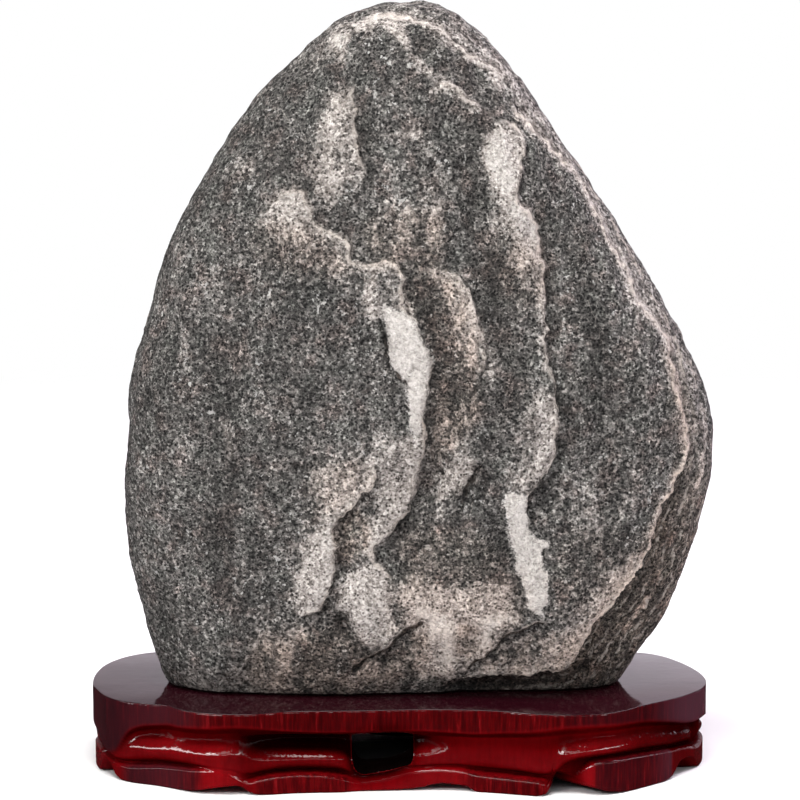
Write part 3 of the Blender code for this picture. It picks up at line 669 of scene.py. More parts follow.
def face_shape(points, face):
    """Setback of one face at its (x, z) points, and the measures its material needs."""
    count = len(points)
    setback = np.zeros(count)
    ledge = np.full(count, FAR)
    strength = np.zeros(count)
    for item in face.ledges:
        near = near_curve(points, item.edge)
        ends = smooth(near.inner / 9.0)
        low = smooth((near.distance * near.side + 0.5) / 1.4) * np.exp(-near.distance / item.reach)
        lip = np.where(near.side < 0, np.exp(-near.distance / item.spread), 0.0)
        setback += ends * (np.where(near.side > 0, item.drop * low, 0.0) - item.lip * lip)
        closer = near.distance < np.abs(ledge)
        ledge = np.where(closer, near.distance * near.side, ledge)
        strength = np.where(closer, ends * min(1.0, item.drop / 3.0), strength)
    pale = overlaid(patch_weights(points, face.pale), vein_weights(points, face.veins))
    hollow = np.zeros(count)
    for item in face.swells:
        near = near_curve(points, item.line, 3)
        rise = np.exp(-((near.distance / item.width) ** 2))
        setback -= item.height * rise
        # A ridge turns paler: wear, and painted light where the ridge catches it
        pale += RIDGE_WEAR_AND_LIGHT * max(item.height, 0.0) * rise
        # Painted shade: the hollow of a swell is darkened where shade falls in the dip
        hollow += HOLLOW_PAINTED_SHADE * max(-item.height, 0.0) * rise
    cracks = np.full(count, CRACK_REACH)
    for line in face.cracks:
        near = near_curve(points, line)
        cracks = np.minimum(cracks, near.distance + 4.0 * (1.0 - smooth(near.inner / 5.0)))
    setback += CRACK_DEPTH * np.exp(-((cracks / CRACK_WIDTH) ** 2))
    quartz = np.full(count, -MARK_REACH)
    for outline in face.quartz:
        quartz = np.maximum(quartz, depth_inside(points, outline))
    setback -= QUARTZ_RISE * np.sqrt(smooth(quartz / QUARTZ_SHOULDER))
    return setback, {
        "ledge": np.clip(ledge, -MARK_REACH, MARK_REACH),
        "ledge_strength": strength,
        "crack": cracks,
        "quartz": np.clip(quartz, -MARK_REACH, MARK_REACH),
        "pale": pale,
        "hollow": np.minimum(hollow, 1.0),
        "brown": patch_weights(points, face.brown),
    }


def side_shape(points):
    """Outside the crest: thin layer edges that run along it, as setback, reach and layer."""
    near = near_curve(points, CREST)
    outside = smooth(near.distance * near.side / 3.0) * smooth(near.inner / 30.0)
    waves = perlin(np.column_stack([points, points[:, 0]]), 22.0)
    layers = near.distance / LAYER_THICKNESS + LAYER_WAVINESS * waves
    layer_edge = smooth((layers - np.floor(layers)) * LAYER_SHARPNESS)
    setback = outside * (LAYER_STEP * layer_edge + SIDE_SLOPE * near.distance)
    return setback, outside, outside * layer_edge


def wobbled(x, z, depth):
    """(x, z) points moved about a little, so that lines drawn on them turn ragged."""
    spread = np.column_stack([x, np.full(len(x), depth), z])
    for shift, size, x_seed, z_seed in WOBBLE:
        x = x + shift * perlin(spread, size, x_seed)
        z = z + shift * perlin(spread, size, z_seed)
    return np.column_stack([x, z])


def stone_shape(directions):
    """Places the sphere's points on the stone and measures its markings there."""
    curve = spline_through(STONE_OUTLINE, 10, closed=True) - (STONE_CENTRE[0], STONE_CENTRE[2])
    outline_angle = np.arctan2(curve[:, 1], curve[:, 0])
    order = np.argsort(outline_angle)
    flat = np.hypot(directions[:, 0], directions[:, 2])
    angle = np.arctan2(directions[:, 2], directions[:, 0])
    reach = np.hypot(curve[:, 0], curve[:, 1])
    radius = flat * np.interp(angle, outline_angle[order], reach[order], period=2 * math.pi)
    x = STONE_CENTRE[0] + radius * np.cos(angle)
    z = STONE_CENTRE[2] + radius * np.sin(angle)
    front = directions[:, 1] < 0
    facing = np.maximum(0.0, 1.0 - flat ** STONE_FULLNESS) ** STONE_ROUNDING

    depth_key = np.where(front, FACES[0][1], FACES[1][1])
    along_layer = LAYER_SLOPE * x + z
    across_layer = x - LAYER_LEAN * z
    swell = np.zeros(len(x))
    for height, stretch, size, seed in BROAD_SWELL:
        place = np.column_stack([across_layer, depth_key, stretch * along_layer])
        swell += height * perlin(place, size, seed)

    setback = np.zeros(len(x))
    marks = {}
    for turned, depth, face in FACES:
        share = smooth(0.5 + turned * directions[:, 1] / FACE_BLEND)
        chosen = share > 0.0
        points = wobbled(x[chosen], z[chosen], depth)
        part_setback, part_marks = face_shape(points, face)
        side_setback, outside, layer = side_shape(points)
        part_marks["side"] = outside * smooth((150.0 - z[chosen]) / 60.0)
        part_marks["layer"] = layer
        setback[chosen] += share[chosen] * (part_setback + side_setback)
        for name, values in part_marks.items():
            marks.setdefault(name, np.zeros(len(x)))[chosen] += share[chosen] * values

    offset = np.where(
        front,
        facing * (setback - STONE_FRONT - swell),
        facing * (STONE_BACK + 1.5 * swell - setback),
    )
    return np.column_stack([x, STONE_CENTRE[1] + offset, z]), marks


def roughen(points, normals):
    """Small relief along the normals: knobs, thin layer edges and pits."""
    across = points[:, 0] - LAYER_LEAN * points[:, 2] + 0.5 * points[:, 1]
    streaked = np.column_stack([across, points[:, 1], LAYER_SLOPE * points[:, 2]])
    relief = np.zeros(len(points))
    for place, (height, size, seed) in zip((streaked, streaked, points), SMALL_RELIEF):
        relief += height * perlin(place, size, seed)
    return points + normals * relief[:, None]


def place_vertices(builder, points):
    for vertex, point in zip(builder.verts, points):
        vertex.co = point * MM


def build_stone(material):
    builder = stone_sphere()
    points, marks = stone_shape(np.array([vertex.co for vertex in builder.verts]))
    place_vertices(builder, points)
    builder.normal_update()
    place_vertices(builder, roughen(points, np.array([vertex.normal for vertex in builder.verts])))
    for name, values in marks.items():
        layer = builder.verts.layers.float.new(name)
        for vertex, value in zip(builder.verts, values):
            vertex[layer] = value
    cut = bmesh.ops.bisect_plane(
        builder, geom=builder.verts[:] + builder.edges[:] + builder.faces[:], dist=1e-7,
        plane_co=(0.0, 0.0, STONE_UNDERSIDE * MM), plane_no=(0.0, 0.0, 1.0), clear_inner=True,
    )
    add_stone_foot(builder, of_kind(cut["geom_cut"], bmesh.types.BMEdge))
    mesh = finished_mesh("stone_rough", builder)
    mesh.shade_smooth()
    replace_node(add_object("stone_rough", mesh, material), "stone")


def of_kind(parts, kind):
    return [part for part in parts if isinstance(part, kind)]


def add_stone_foot(builder, rim):
    """Foot below the stone's underside: a step in to its outline, then straight down."""
    under = bmesh.ops.extrude_edge_only(builder, edges=rim)["geom"]
    for vertex in of_kind(under, bmesh.types.BMVert):
        across = (vertex.co.x / MM - FOOT_CENTRE[0]) / FOOT_HALF_LENGTH
        deep = (vertex.co.y / MM - FOOT_CENTRE[1]) / FOOT_HALF_DEPTH
        x, y = superellipse(
            FOOT_HALF_LENGTH, FOOT_HALF_DEPTH, FOOT_SQUARENESS, math.atan2(deep, across)
        )
        vertex.co.x = (FOOT_CENTRE[0] + x) * MM
        vertex.co.y = (FOOT_CENTRE[1] + y) * MM
    edges = of_kind(under, bmesh.types.BMEdge)
    down = bmesh.ops.extrude_edge_only(builder, edges=edges)["geom"]
    for vertex in of_kind(down, bmesh.types.BMVert):
        vertex.co.z = FOOT_SOLE * MM
    bmesh.ops.contextual_create(builder, geom=of_kind(down, bmesh.types.BMEdge))


def stand_stations(count):
    """Stations round the stand: positions, outward normals and arcs on the carved pattern."""
    curve = spline_through(STAND_FRONT + STAND_BACK, 16, closed=True)
    closed = np.vstack([curve, curve[:1]])
    lengths = np.concatenate([[0.0], np.cumsum(np.linalg.norm(np.diff(closed, axis=0), axis=1))])
    total = lengths[-1]
    right_tip = lengths[16 * len(STAND_FRONT)]

    def place(walked):
        return np.column_stack([np.interp(walked % total, lengths, closed[:, k]) for k in (0, 1)])

    walked = total * np.arange(count) / count
    tangent = place(walked + 0.6) - place(walked - 0.6)
    tangent /= np.linalg.norm(tangent, axis=1)[:, None]
    arc = np.zeros(count)
    for start, end in ((0.0, right_tip), (right_tip, total)):
        half = (lengths[:-1] >= start) & (lengths[:-1] < end)
        middle = lengths[:-1][half][np.argmin(np.abs(curve[half, 0]))]
        knots = ([start, middle, end], [-ARC_REACH, 0.0, ARC_REACH])
        here = (walked >= start) & (walked < end)
        arc[here] = np.interp(walked[here], *knots)
    return place(walked), np.column_stack([tangent[:, 1], -tangent[:, 0]]), arc


def rounded(distance, width):
    """Quarter-round rise from 0 to 1 over a width."""
    part = 1.0 - np.clip(distance / width, 0.0, 1.0)
    return np.sqrt(1.0 - part * part)


Skirt = namedtuple("Skirt", "inset block shade sink")


def carved_inset(rows, height):
    """Inset at a height on the carving's rows: rim, cove, bulge, groove and foot face."""
    rim, cove, cove_in, crest, crest_in, groove, groove_in, foot, foot_in = rows
    inset = cove_in * smooth((rim - height) / (rim - cove))
    inset += (crest_in - cove_in) * smooth((cove - height) / (cove - crest))
    inset += (groove_in - crest_in) * (1.0 - rounded(height - groove, crest - groove))
    return inset + (foot_in - groove_in) * rounded(foot - height, FOOT_ROUND)


def skirt_shape(arc, height):
    """Skirt at one height: inset behind the rim's face, where the sawn block is left, painted
    shade in hollows, under overhangs and at the window, and how far below the rim the outline has
    softened."""
    table = spline_through(CARVING, 6, closed=False)
    rows = [np.interp(arc, table[:, 0], column) for column in table[:, 1:].T]
    rim, foot, foot_in = rows[0], rows[-2], rows[-1]
    inset = carved_inset(rows, height)
    overhang = (carved_inset(rows, height - 0.4) - carved_inset(rows, height + 0.4)) / 0.8
    to_window = np.maximum(-depth_inside(np.column_stack([arc, height]), WINDOW, 4), 0.0)
    inset += np.where(height < rim, 1.8 * np.exp(-to_window / 2.0), 0.0)
    sawn_foot = smooth((foot + 0.6 - height) / 1.4) * smooth((0.1 - foot_in) / 0.4)
    block = np.maximum(smooth(0.5 - (rim - height) / 2.4), sawn_foot)
    # Painted shade: deep insets, faces turned down under overhangs and the window's mouth
    shade = np.maximum(0.97 * smooth((inset - 1.3) / 4.2), 0.75 * smooth((overhang - 0.1) / 1.0))
    shade = np.maximum(shade, 0.95 * np.exp(-to_window / 2.2))
    return Skirt(inset, block, shade, smooth((rim - height) / 5.0))


def softened(places, reach):
    """Outline averaged over a number of stations to each side."""
    turns = [np.roll(places, k, axis=0) for k in range(-reach, reach + 1)]
    return np.mean(turns, axis=0)


def skirt_rings(arc, low):
    """Rings of the outside from the plate's edge to the lower edge, as (skirt, height)."""
    zero = np.zeros(len(arc))
    one = np.ones(len(arc))
    rings = [
        (Skirt(inset * one, block=one, shade=zero, sink=zero), height * one)
        for inset, height in PLATE_EDGE
    ]
    for share in np.linspace(0.0, 1.0, 84):
        height = SKIRT_TOP + (low + 0.5 - SKIRT_TOP) * share
        skirt = skirt_shape(arc, height)
        rings.append((skirt, height))
    rings.append((skirt._replace(inset=skirt.inset + 0.5), low))
    return rings


def stand_body():
    """Plate with its seat, rim, carved skirt and hollow, as one solid."""
    count = 720
    places, normals, arc = stand_stations(count)
    drift = softened(places, count // 60) - places
    low = np.interp(arc, *np.array(SKIRT_EDGE, dtype=float).T)
    builder = bmesh.new()
    block_layer = builder.verts.layers.float.new("block")
    shade_layer = builder.verts.layers.float.new("shade")

    def ring(flat, height, block, shade):
        made = [builder.verts.new((x * MM, y * MM, z * MM)) for (x, y), z in zip(flat, height)]
        for vertex, block_share, dark in zip(made, block, shade):
            vertex[block_layer] = block_share
            vertex[shade_layer] = dark
        return made

    def oval(half_length, half_depth, squareness, centre, height, dark):
        across = (places - centre) / (half_length, half_depth)
        angle = np.arctan2(across[:, 1], across[:, 0])
        flat = np.column_stack(superellipse(half_length, half_depth, squareness, angle)) + centre
        height = np.broadcast_to(height, count)
        return ring(flat, height, np.zeros(count), np.full(count, dark))

    rings = []
    for skirt, height in skirt_rings(arc, low):
        flat = places + drift * skirt.sink[:, None] - normals * skirt.inset[:, None]
        rings.append(ring(flat, height, skirt.block, skirt.shade))
    # The hollow's rings carry full painted shade
    for narrowed, flattened, height in ((1.0, 1.0, low), (*CEILING_SHRINK, CEILING_HEIGHT)):
        rings.append(oval(narrowed * HOLLOW_HALF_LENGTH, flattened * HOLLOW_HALF_DEPTH,
                          HOLLOW_SQUARENESS, (0.0, 0.0), height, 1.0))
    for height in (STAND_HEIGHT, SEAT_FLOOR):
        rings.insert(0, oval(FOOT_HALF_LENGTH + SEAT_MARGIN, FOOT_HALF_DEPTH + SEAT_MARGIN,
                             FOOT_SQUARENESS, FOOT_CENTRE, height, 0.0))
    bands = bridge(builder, rings)
    builder.faces.new(rings[0])
    for face in bands[-1] + [builder.faces.new(rings[-1])]:
        face.material_index = 1
    return finished_mesh("stand_carved", builder)


def window_cutter(side, materials):
    """Prism through the window's outline on the front (side -1) or, turned half a turn, the
    back (side 1), rising inwards."""
    builder = bmesh.new()
    outline = spline_through(WINDOW, 4, closed=True)
    rings = []
    for depth, rise in WINDOW_CUT:
        ring = [(-side * x * MM, side * depth * MM, (z + rise) * MM) for x, z in outline]
        rings.append([builder.verts.new(corner) for corner in ring])
    bridge(builder, rings)
    builder.faces.new(rings[0])
    builder.faces.new(rings[-1])
    for face in builder.faces:
        face.material_index = 1
    return add_object("window_cutter", finished_mesh("window_cutter", builder), *materials)


def build_stand(*materials):
    stand = add_object("stand_carved", stand_body(), *materials)
    cutters = [window_cutter(side, materials) for side in (-1.0, 1.0)]
    for cutter in cutters:
        cut = stand.modifiers.new("window", "BOOLEAN")
        cut.operation = "DIFFERENCE"
        cut.solver = "EXACT"
        cut.object = cutter
    solid = stand.evaluated_get(bpy.context.evaluated_depsgraph_get())
    stand.data = bpy.data.meshes.new_from_object(solid)
    stand.modifiers.clear()
    for cutter in cutters:
        bpy.data.objects.remove(cutter, do_unlink=True)
    stand.data.shade_smooth()
    stand.data.set_sharp_from_angle(angle=math.radians(50.0))
    replace_node(stand, "stand")


class Shader:
    """Short calls for building one material's node tree."""

    def __init__(self, name):
        self.material = bpy.data.materials.new(name)
        self.material.use_nodes = True
        self.tree = self.material.node_tree

    def set(self, socket, value):
        if isinstance(value, bpy.types.NodeSocket):
            self.tree.links.new(value, socket)
        else:
            socket.default_value = value

    def node(self, kind, inputs=None, **settings):
        made = self.tree.nodes.new(kind)
        for key, value in settings.items():
            setattr(made, key, value)
        for key, value in (inputs or {}).items():
            self.set(made.inputs[key], value)
        return made

    def finish(self, inputs):
        """Gives the surface its inputs by name and returns the material."""
        surface = self.tree.nodes["Principled BSDF"]
        for key, value in inputs.items():
            self.set(surface.inputs[key], value)
        return self.material

    def position(self):
        """Position in millimetres."""
        place = self.node("ShaderNodeTexCoord").outputs["Object"]
        return self.node(
            "ShaderNodeVectorMath", {0: place, "Scale": 1000.0}, operation="SCALE"
        ).outputs["Vector"]

    def length(self, vector):
        return self.node(
            "ShaderNodeVectorMath", {0: vector}, operation="LENGTH"
        ).outputs["Value"]

    def attribute(self, name):
        return self.node("ShaderNodeAttribute", attribute_name=name).outputs["Fac"]

    def math(self, operation, first, second):
        return self.node(
            "ShaderNodeMath", {0: first, 1: second}, operation=operation
        ).outputs["Value"]

    def product(self, first, *others):
        for other in others:
            first = self.math("MULTIPLY", first, other)
        return first

    def weigh(self, *terms):
        """Sum of (value, weight) terms."""
        total, *others = [self.product(value, weight) for value, weight in terms]
        for part in others:
            total = self.math("ADD", total, part)
        return total

    def noise(self, place, size, detail=3.0, roughness=0.6):
        return self.node(
            "ShaderNodeTexNoise",
            {"Vector": place, "Scale": 1.0 / size, "Detail": detail, "Roughness": roughness},
        ).outputs["Fac"]

    def scattered(self, place, size):
        """Scattered points, one a size apart, each with a cell of its own round it."""
        return self.node("ShaderNodeTexVoronoi", {"Vector": place, "Scale": 1.0 / size}).outputs

    def cells(self, place, size):
        """A random number for each grain of a size."""
        colour = self.scattered(place, size)["Color"]
        return self.node("ShaderNodeSeparateColor", {0: colour}).outputs[0]

    def dots(self, place, size):
        """Distance to the nearest of scattered points, in sizes."""
        return self.scattered(place, size)["Distance"]

    def stretch(self, place, factors, turn=(0.0, 0.0, 0.0)):
        return self.node(
            "ShaderNodeMapping", {"Vector": place, "Scale": factors, "Rotation": turn}
        ).outputs["Vector"]

    def ramp(self, factor, stops):
        made = self.node("ShaderNodeValToRGB", {"Fac": factor})
        elements = made.color_ramp.elements
        while len(elements) < len(stops):
            elements.new(0.5)
        for element, (place, colour) in zip(elements, stops):
            element.position = place
            element.color = (*colour, 1.0)
        return made.outputs["Color"]

    def step(self, value, low, high, to_low=0.0, to_high=1.0):
        """Eased step between two values, from low to high."""
        return self.node(
            "ShaderNodeMapRange",
            {"Value": value, "From Min": low, "From Max": high,
             "To Min": to_low, "To Max": to_high},
            interpolation_type="SMOOTHSTEP",
        ).outputs["Result"]

    def mix(self, factor, first, second, blend="MIX"):
        made = self.node("ShaderNodeMix", data_type="RGBA", blend_type=blend)
        self.set(made.inputs[0], factor)
        for socket, value in ((made.inputs[6], first), (made.inputs[7], second)):
            self.set(socket, (*value, 1.0) if isinstance(value, tuple) else value)
        return made.outputs[2]

    def tinted(self, factor, colour, tint):
        """A colour multiplied by a tint where the factor is 1."""
        return self.mix(factor, colour, tint, "MULTIPLY")

    def bump(self, height, distance, under=None):
        inputs = {"Height": height, "Distance": distance}
        if under is not None:
            inputs["Normal"] = under
        return self.node("ShaderNodeBump", inputs).outputs["Normal"]


Patterns = namedtuple(
    "Patterns", "place coarse fine specks cloud drift mottle blotch patchy grain"
)


def stone_patterns(s):
    """Grains, specks and clouds of the gneiss, and the grain that sums them up."""
    place = s.position()
    slanted = s.stretch(place, (1.0, 1.0, 0.45), (0.0, math.radians(-20.0), 0.0))
    coarse = s.cells(place, 1.2)
    fine = s.cells(place, 0.65)
    specks = s.step(s.dots(place, 1.5), 0.12, 0.42)
    cloud = s.noise(place, 1.9)
    drift = s.noise(slanted, 6.0, detail=2.0)
    broad = s.noise(slanted, 26.0, detail=2.0)
    grain = s.weigh(
        (coarse, 0.24), (fine, 0.26), (specks, 0.32), (cloud, 0.48), (drift, 0.26), (broad, 0.26)
    )
    return Patterns(
        place, coarse, fine, specks, cloud, drift,
        mottle=s.noise(place, 1.8),
        blotch=s.noise(slanted, 6.0),
        patchy=s.step(s.noise(place, 8.0, detail=2.0), 0.38, 0.62),
        grain=s.math("SUBTRACT", grain, 0.52),
    )


def grey_gneiss(s, p):
    """Salt-and-pepper greys, here warmer, there cooler, with pale flecks."""
    grey = s.ramp(p.grain, [
        (0.18, (0.006, 0.0056, 0.0056)), (0.38, (0.026, 0.0245, 0.023)),
        (0.55, (0.080, 0.0755, 0.071)), (0.70, (0.205, 0.193, 0.181)),
        (0.88, (0.58, 0.55, 0.52)),
    ])
    tint = s.noise(p.place, 9.0, detail=2.0)
    grey = s.tinted(s.step(tint, 0.5, 0.68, 0.0, 0.7), grey, (1.10, 0.94, 0.91))
    grey = s.tinted(s.step(tint, 0.48, 0.32, 0.0, 0.7), grey, (0.94, 1.00, 0.98))
    flecks = s.step(s.noise(p.place, 2.2, detail=2.0), 0.61, 0.69)
    flecked = s.step(s.noise(p.place, 15.0, detail=2.0), 0.50, 0.60)
    return s.mix(s.product(flecks, flecked, 0.75), grey, (0.55, 0.54, 0.52))


def with_pale_marks(s, p, colour):
    """Worn pale veins and patches, milky where they are strongest, pale lips of wear and painted
    highlight, and quartz.
    """
    worn = s.ramp(p.grain, [
        (0.18, (0.050, 0.041, 0.036)), (0.38, (0.175, 0.154, 0.139)),
        (0.58, (0.390, 0.352, 0.325)), (0.85, (0.800, 0.755, 0.715)),
    ])
    clouding = s.weigh((p.cloud, 0.55), (p.fine, 0.20), (p.coarse, 0.10), (p.drift, 0.25))
    milk = s.ramp(clouding, [
        (0.30, (0.25, 0.231, 0.212)), (0.52, (0.53, 0.496, 0.463)), (0.78, (0.79, 0.75, 0.718)),
    ])
    weight = s.attribute("pale")
    speckle = s.weigh((p.mottle, 0.75), (p.coarse, 0.25), (p.blotch, 1.0))
    pale = s.math("ADD", weight, s.math("SUBTRACT", speckle, 1.0))
    pale = s.product(s.step(pale, 0.10, 0.90), s.step(weight, 0.02, 0.20))
    colour = s.mix(pale, colour, worn)
    milky = s.math("ADD", weight, s.product(s.math("SUBTRACT", p.mottle, 0.5), 0.8))
    colour = s.mix(s.step(milky, 0.90, 1.35, 0.0, 0.85), colour, milk)
    ledge = s.attribute("ledge")
    # Pale lip above each ledge's step: wear with a painted highlight along the edge
    lip = s.product(s.step(ledge, -1.9, -0.3), s.step(ledge, 0.5, 0.0),
                    s.attribute("ledge_strength"), s.step(p.coarse, 0.05, 0.5, 0.3, 0.9),
                    s.step(p.patchy, 0.0, 1.0, 0.30, 0.90))
    colour = s.mix(lip, colour, (0.66, 0.59, 0.53))
    edge = s.math("SUBTRACT", s.weigh((p.mottle, 0.7), (p.fine, 0.3)), 0.5)
    quartz = s.math("ADD", s.attribute("quartz"), s.product(edge, 3.0))
    return s.mix(s.step(quartz, -0.8, 0.8), colour, milk)


def with_stains_and_hollow_shade(s, p, colour):
    """Brown stains, browner sides with pale layer edges, and painted shade in the hollows."""
    stain = s.product(s.attribute("brown"), s.step(p.blotch, 0.25, 0.6, 0.4, 1.0))
    colour = s.tinted(stain, colour, (1.10, 0.97, 0.89))
    side = s.product(s.attribute("side"), s.step(p.blotch, 0.3, 0.65, 0.7, 1.0))
    colour = s.tinted(side, colour, (1.00, 0.84, 0.74))
    layer = s.product(s.step(s.attribute("layer"), 0.74, 0.97), s.step(p.mottle, 0.38, 0.58),
                      s.step(p.patchy, 0.0, 1.0, 0.10, 0.9))
    colour = s.mix(layer, colour, (0.46, 0.41, 0.365))
    # Painted shade: the stone's hollows are darkened
    painted_hollow_shade = s.product(s.attribute("hollow"), s.step(p.blotch, 0.3, 0.7, 1.0, 0.6))
    return s.tinted(painted_hollow_shade, colour, (0.24, 0.21, 0.20))


def stone_material():
    """Salt-and-pepper gneiss with worn pale veins, quartz, dark cracks and brown stains, and
    painted shadow below the ledges' steps.
    """
    s = Shader("grey_gneiss")
    p = stone_patterns(s)
    colour = with_stains_and_hollow_shade(s, p, with_pale_marks(s, p, grey_gneiss(s, p)))
    ledge = s.attribute("ledge")
    # Painted shadow: the dark strip below each ledge's step, laid over with the dark cracks
    gap = s.product(s.step(ledge, 2.2, 0.6), s.step(ledge, -0.1, 0.35),
                    s.attribute("ledge_strength"), s.step(p.patchy, 0.0, 1.0, 0.3, 0.9), 0.8)
    crack = s.step(s.attribute("crack"), 1.0, 0.3)
    colour = s.tinted(s.math("MAXIMUM", gap, crack), colour, (0.17, 0.145, 0.13))
    pits = s.weigh((p.coarse, 0.30), (p.specks, 0.35), (p.cloud, 0.6), (p.fine, 0.25),
                   (p.drift, 1.0))
    grooves = s.bump(s.math("SUBTRACT", 1.0, crack), 0.0010)
    return s.finish({
        "Base Color": colour,
        "Roughness": s.step(p.grain, 0.2, 0.9, 0.85, 0.6),
        "Specular IOR Level": 0.20,
        "Normal": s.bump(pits, 0.0012, under=grooves),
    })


def lacquer_colour(s, place, axes, block, carved_only, painted_falloff, streaks):
    """Streaky sawn wood and smooth carved wood, with painted shade in hollows and towards the ends
    and painted haze on the feet.
    """
    cloud = s.noise(place, 24.0)
    sawn = s.ramp(s.weigh((streaks, 0.75), (cloud, 0.25)), [
        (0.30, (0.016, 0.0004, 0.0008)), (0.46, (0.046, 0.0008, 0.0014)),
        (0.58, (0.090, 0.0014, 0.0022)), (0.68, (0.200, 0.0070, 0.0090)),
    ])
    carved = s.ramp(s.weigh((streaks, 0.4), (cloud, 0.6)), [
        (0.30, (0.105, 0.0006, 0.0016)), (0.70, (0.245, 0.0018, 0.0040)),
    ])
    colour = s.mix(block, carved, sawn)
    colour = s.tinted(s.step(cloud, 0.40, 0.65), colour, (0.70, 0.60, 0.66))
    # Painted shade in hollows, under overhangs and round the window
    colour = s.tinted(s.attribute("shade"), colour, (0.030, 0.020, 0.025))
    # Painted haze: red lighter and pinker below z 14, standing in for light mirrored on the feet
    colour = s.tinted(s.step(axes["Z"], 14.0, 9.0), colour, (1.4, 1.6, 1.6))
    # Painted shade along the stand, darker towards both ends
    colour = s.tinted(carved_only, colour, painted_falloff)
    # Painted shade at the left end, painted reflection at the right end of the sawn rim
    for start, end, most, tint, blend in RIM_END_SHADE_AND_SHEEN:
        share = s.product(block, s.step(axes["X"], start, end, 0.0, most))
        colour = s.mix(share, colour, tint, blend)
    return s.mix(s.step(axes["Z"], 32.6, 32.95), colour, (0.018, 0.0020, 0.0045))


def lacquer_material():
    """Red-stained wood under clear gloss lacquer; upright grain where the block was sawn."""
    s = Shader("red_lacquer_gloss")
    place = s.position()
    axes = s.node("ShaderNodeSeparateXYZ", {0: place}).outputs
    block = s.attribute("block")
    upright = s.step(axes["Z"], 32.6, 32.0)
    carved_only = s.product(s.math("SUBTRACT", 1.0, block), upright)
    painted_falloff = s.ramp(s.step(axes["X"], -FALLOFF_REACH, FALLOFF_REACH), [
        (float(smooth((x + FALLOFF_REACH) / (2 * FALLOFF_REACH))), (share, share, share))
        for x, share in CARVING_LIGHT_FALLOFF
    ])
    streaks = s.noise(s.stretch(place, (1.0, 1.0, 0.09)), 1.5, detail=4.0, roughness=0.65)
    colour = lacquer_colour(s, place, axes, block, carved_only, painted_falloff, streaks)
    dull = s.product(carved_only, s.step(painted_falloff, 0.7, 0.5, 0.0, 0.55))
    gloss = s.product(s.step(s.attribute("shade"), 0.02, 0.26, 0.65, 0.03),
                      s.step(s.product(block, upright), 0.0, 1.0, 1.0, 0.4),
                      s.math("SUBTRACT", 1.0, dull))
    ripples = [s.noise(place, size, detail=1.0) for size in (9.0, 2.5)]
    pores = s.noise(s.stretch(place, (1.0, 1.0, 0.3)), 1.5, detail=1.0)
    fine = s.product(s.weigh((pores, 0.55), (s.product(streaks, block), 0.12)), upright)
    ripple = s.weigh((ripples[0], 0.7), (ripples[1], 0.3))
    waves = s.bump(s.math("ADD", s.product(ripple, 0.35), fine), 0.0003)
    return s.finish({
        "Base Color": colour,
        "Roughness": 0.40,
        "Specular IOR Level": 0.0,
        "Normal": waves,
        "Coat Weight": gloss,
        "Coat Roughness": 0.09,
        "Coat Normal": waves,
    })


def bare_wood_shade_material():
    """Unlacquered wood inside the stand's hollow, painted near-black as shade."""
    s = Shader("bare_wood_painted_shade")
    grain = s.noise(s.stretch(s.position(), (0.12, 1.0, 1.0)), 2.0, detail=4.0)
    return s.finish({
        # Near-black base colour: painted shade inside the hollow
        "Base Color": s.ramp(grain, [
            (0.35, (0.0012, 0.0006, 0.0006)), (0.65, (0.003, 0.0013, 0.0012)),
        ]),
        "Roughness": 0.9,
        "Specular IOR Level": 0.0,
        "Normal": s.bump(grain, 0.0003),
    })


def floor_material():
    """Pale paint, with a painted shadow: dark in an oval under the stand."""
    s = Shader("floor_paint")
    from_stand = s.length(s.stretch(s.position(), STAND_SHADOW))
    # Painted shadow under the stand
    painted_shadow_share = s.step(from_stand, 0.9, 1.0)
    return s.finish({
        "Base Color": s.mix(painted_shadow_share, (0.004, 0.004, 0.004), (0.90, 0.90, 0.905)),
        "Roughness": 0.9,
    })


def white_ring_material():
    """White light that fades in with the distance from the object."""
    s = Shader("white_surroundings")
    return s.finish({
        "Base Color": (0.0, 0.0, 0.0, 1.0),
        "Specular IOR Level": 0.0,
        "Emission Color": (1.0, 1.0, 1.0, 1.0),
        "Emission Strength": 1.0,
        "Alpha": s.step(s.length(s.position()), 700.0, 1000.0),
    })


def swept_sheet(name, profile, material):
    """Stage sheet over a profile of (y, z) in metres."""
    builder = bmesh.new()
    left, right = [
        [builder.verts.new((x, y, z)) for y, z in profile]
        for x in (-SHEET_HALF_WIDTH, SHEET_HALF_WIDTH)
    ]
    for corners in zip(left, right, right[1:], left[1:]):
        builder.faces.new(corners)
    mesh = finished_mesh(name, builder)
    mesh.shade_smooth()
    sheet = add_object(name, mesh, material)
    return sheet


def add_floor(paint):
    """Floor that the lacquer doesn't mirror, and a backdrop that is seen only mirrored in it."""
    start, top = 1.6, 4.0
    radius = 0.9
    turns = [math.radians(90.0 * k / 12) for k in range(13)]
    sweep = [(start + radius * math.sin(turn), radius * (1.0 - math.cos(turn))) for turn in turns]
    floor = swept_sheet("floor", [(-SHEET_HALF_WIDTH, 0.0), (start, 0.0)], paint)
    floor.visible_glossy = False
    backdrop = swept_sheet("backdrop", sweep + [(start + radius, top)], paint)
    backdrop.visible_camera = False


def add_surroundings(white):
    """White ring round the lit floor, seen by the camera only: it lights nothing."""
    builder = bmesh.new()
    turns = [2.0 * math.pi * k / 48 for k in range(48)]
    bridge(builder, [
        [builder.verts.new((r * math.cos(turn), r * math.sin(turn), 0.0005)) for turn in turns]
        for r in (0.7, 60.0)
    ])
    ring = add_object("surroundings", finished_mesh("surroundings", builder), white)
    ring.visible_diffuse = False
    ring.visible_glossy = False
    ring.visible_shadow = False


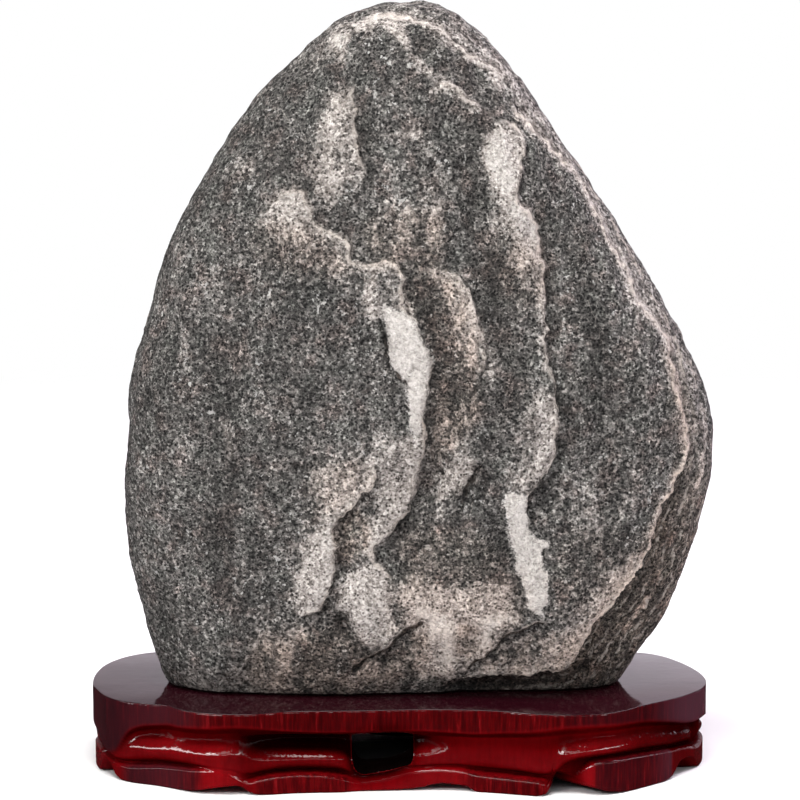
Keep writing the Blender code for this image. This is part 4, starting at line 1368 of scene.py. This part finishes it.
def add_light(name, place, aim, size, watts, colour=(1.0, 1.0, 1.0), gloss_only=False):
    """Rectangular soft light, in metres and watts."""
    lamp = bpy.data.lights.new(name, "AREA")
    lamp.shape = "RECTANGLE"
    lamp.size, lamp.size_y = size
    lamp.energy = watts
    lamp.color = colour
    made = bpy.data.objects.new(name, lamp)
    made.location = place
    made.rotation_euler = (Vector(aim) - Vector(place)).to_track_quat("-Z", "Y").to_euler()
    made.visible_diffuse = not gloss_only
    bpy.context.scene.collection.objects.link(made)


def add_lights():
    middle = (0.0, 0.0, 0.14)
    foot = (0.0, 0.0, 0.03)
    add_light("top", (-0.15, -0.45, 1.30), middle, (0.9, 0.35), 19.3, (1.0, 0.99, 0.97))
    add_light("key", (-1.0, -1.1, 0.95), middle, (0.30, 0.25), 7.25, (1.0, 0.985, 0.96))
    add_light("fill", (1.25, -1.0, 0.7), middle, (0.5, 0.4), 3.6, (0.97, 0.98, 1.0))
    add_light("strip", (-0.2, -0.9, 0.70), foot, (0.7, 0.2), 1.8)
    for k, (turn, length, width, watts) in enumerate(GLOSS_LIGHTS):
        turn = math.radians(turn)
        place = (GLOSS_LIGHT_DISTANCE * math.sin(turn), -GLOSS_LIGHT_DISTANCE * math.cos(turn),
                 GLOSS_LIGHT_HEIGHT)
        add_light(f"gloss_{k}", place, foot, (length, width), watts, gloss_only=True)
    add_light("wall", (2.0, 0.9, 1.9), (1.4, 2.3, 0.5), (2.5, 0.8), 94.0, (1.0, 0.88, 1.0))


def add_world():
    """Dim studio room that looks white to the camera."""
    world = bpy.data.worlds.new("studio")
    bpy.context.scene.world = world
    world.use_nodes = True
    tree = world.node_tree
    room = tree.nodes["Background"]
    room.inputs["Color"].default_value = (0.95, 0.96, 1.0, 1.0)
    white = tree.nodes.new("ShaderNodeBackground")
    white.inputs["Color"].default_value = (1.0, 1.0, 1.0, 1.0)
    choice = tree.nodes.new("ShaderNodeMixShader")
    rays = tree.nodes.new("ShaderNodeLightPath")
    strength = tree.nodes.new("ShaderNodeMapRange")
    strength.inputs["To Min"].default_value = ROOM_LIGHT
    strength.inputs["To Max"].default_value = ROOM_GLOSS
    for source, socket in (
        (rays.outputs["Is Glossy Ray"], strength.inputs["Value"]),
        (strength.outputs["Result"], room.inputs["Strength"]),
        (rays.outputs["Is Camera Ray"], choice.inputs[0]),
        (room.outputs[0], choice.inputs[1]),
        (white.outputs[0], choice.inputs[2]),
        (choice.outputs[0], tree.nodes["World Output"].inputs["Surface"]),
    ):
        tree.links.new(source, socket)


def add_camera():
    tilt = math.radians(CAMERA_ELEVATION)
    lens = bpy.data.cameras.new("camera")
    lens.lens = CAMERA_LENS
    lens.sensor_width = 36.0
    camera = bpy.data.objects.new("camera", lens)
    camera.location = (
        CAMERA_TARGET[0],
        CAMERA_TARGET[1] - CAMERA_DISTANCE * math.cos(tilt),
        CAMERA_TARGET[2] + CAMERA_DISTANCE * math.sin(tilt),
    )
    camera.rotation_euler = (math.radians(90.0) - tilt, 0.0, 0.0)
    bpy.context.scene.collection.objects.link(camera)
    bpy.context.scene.camera = camera


def main():
    bpy.context.scene.view_settings.view_transform = "Standard"
    add_camera()
    add_lights()
    add_world()
    add_floor(floor_material())
    add_surroundings(white_ring_material())
    build_stone(stone_material())
    build_stand(lacquer_material(), bare_wood_shade_material())


main()
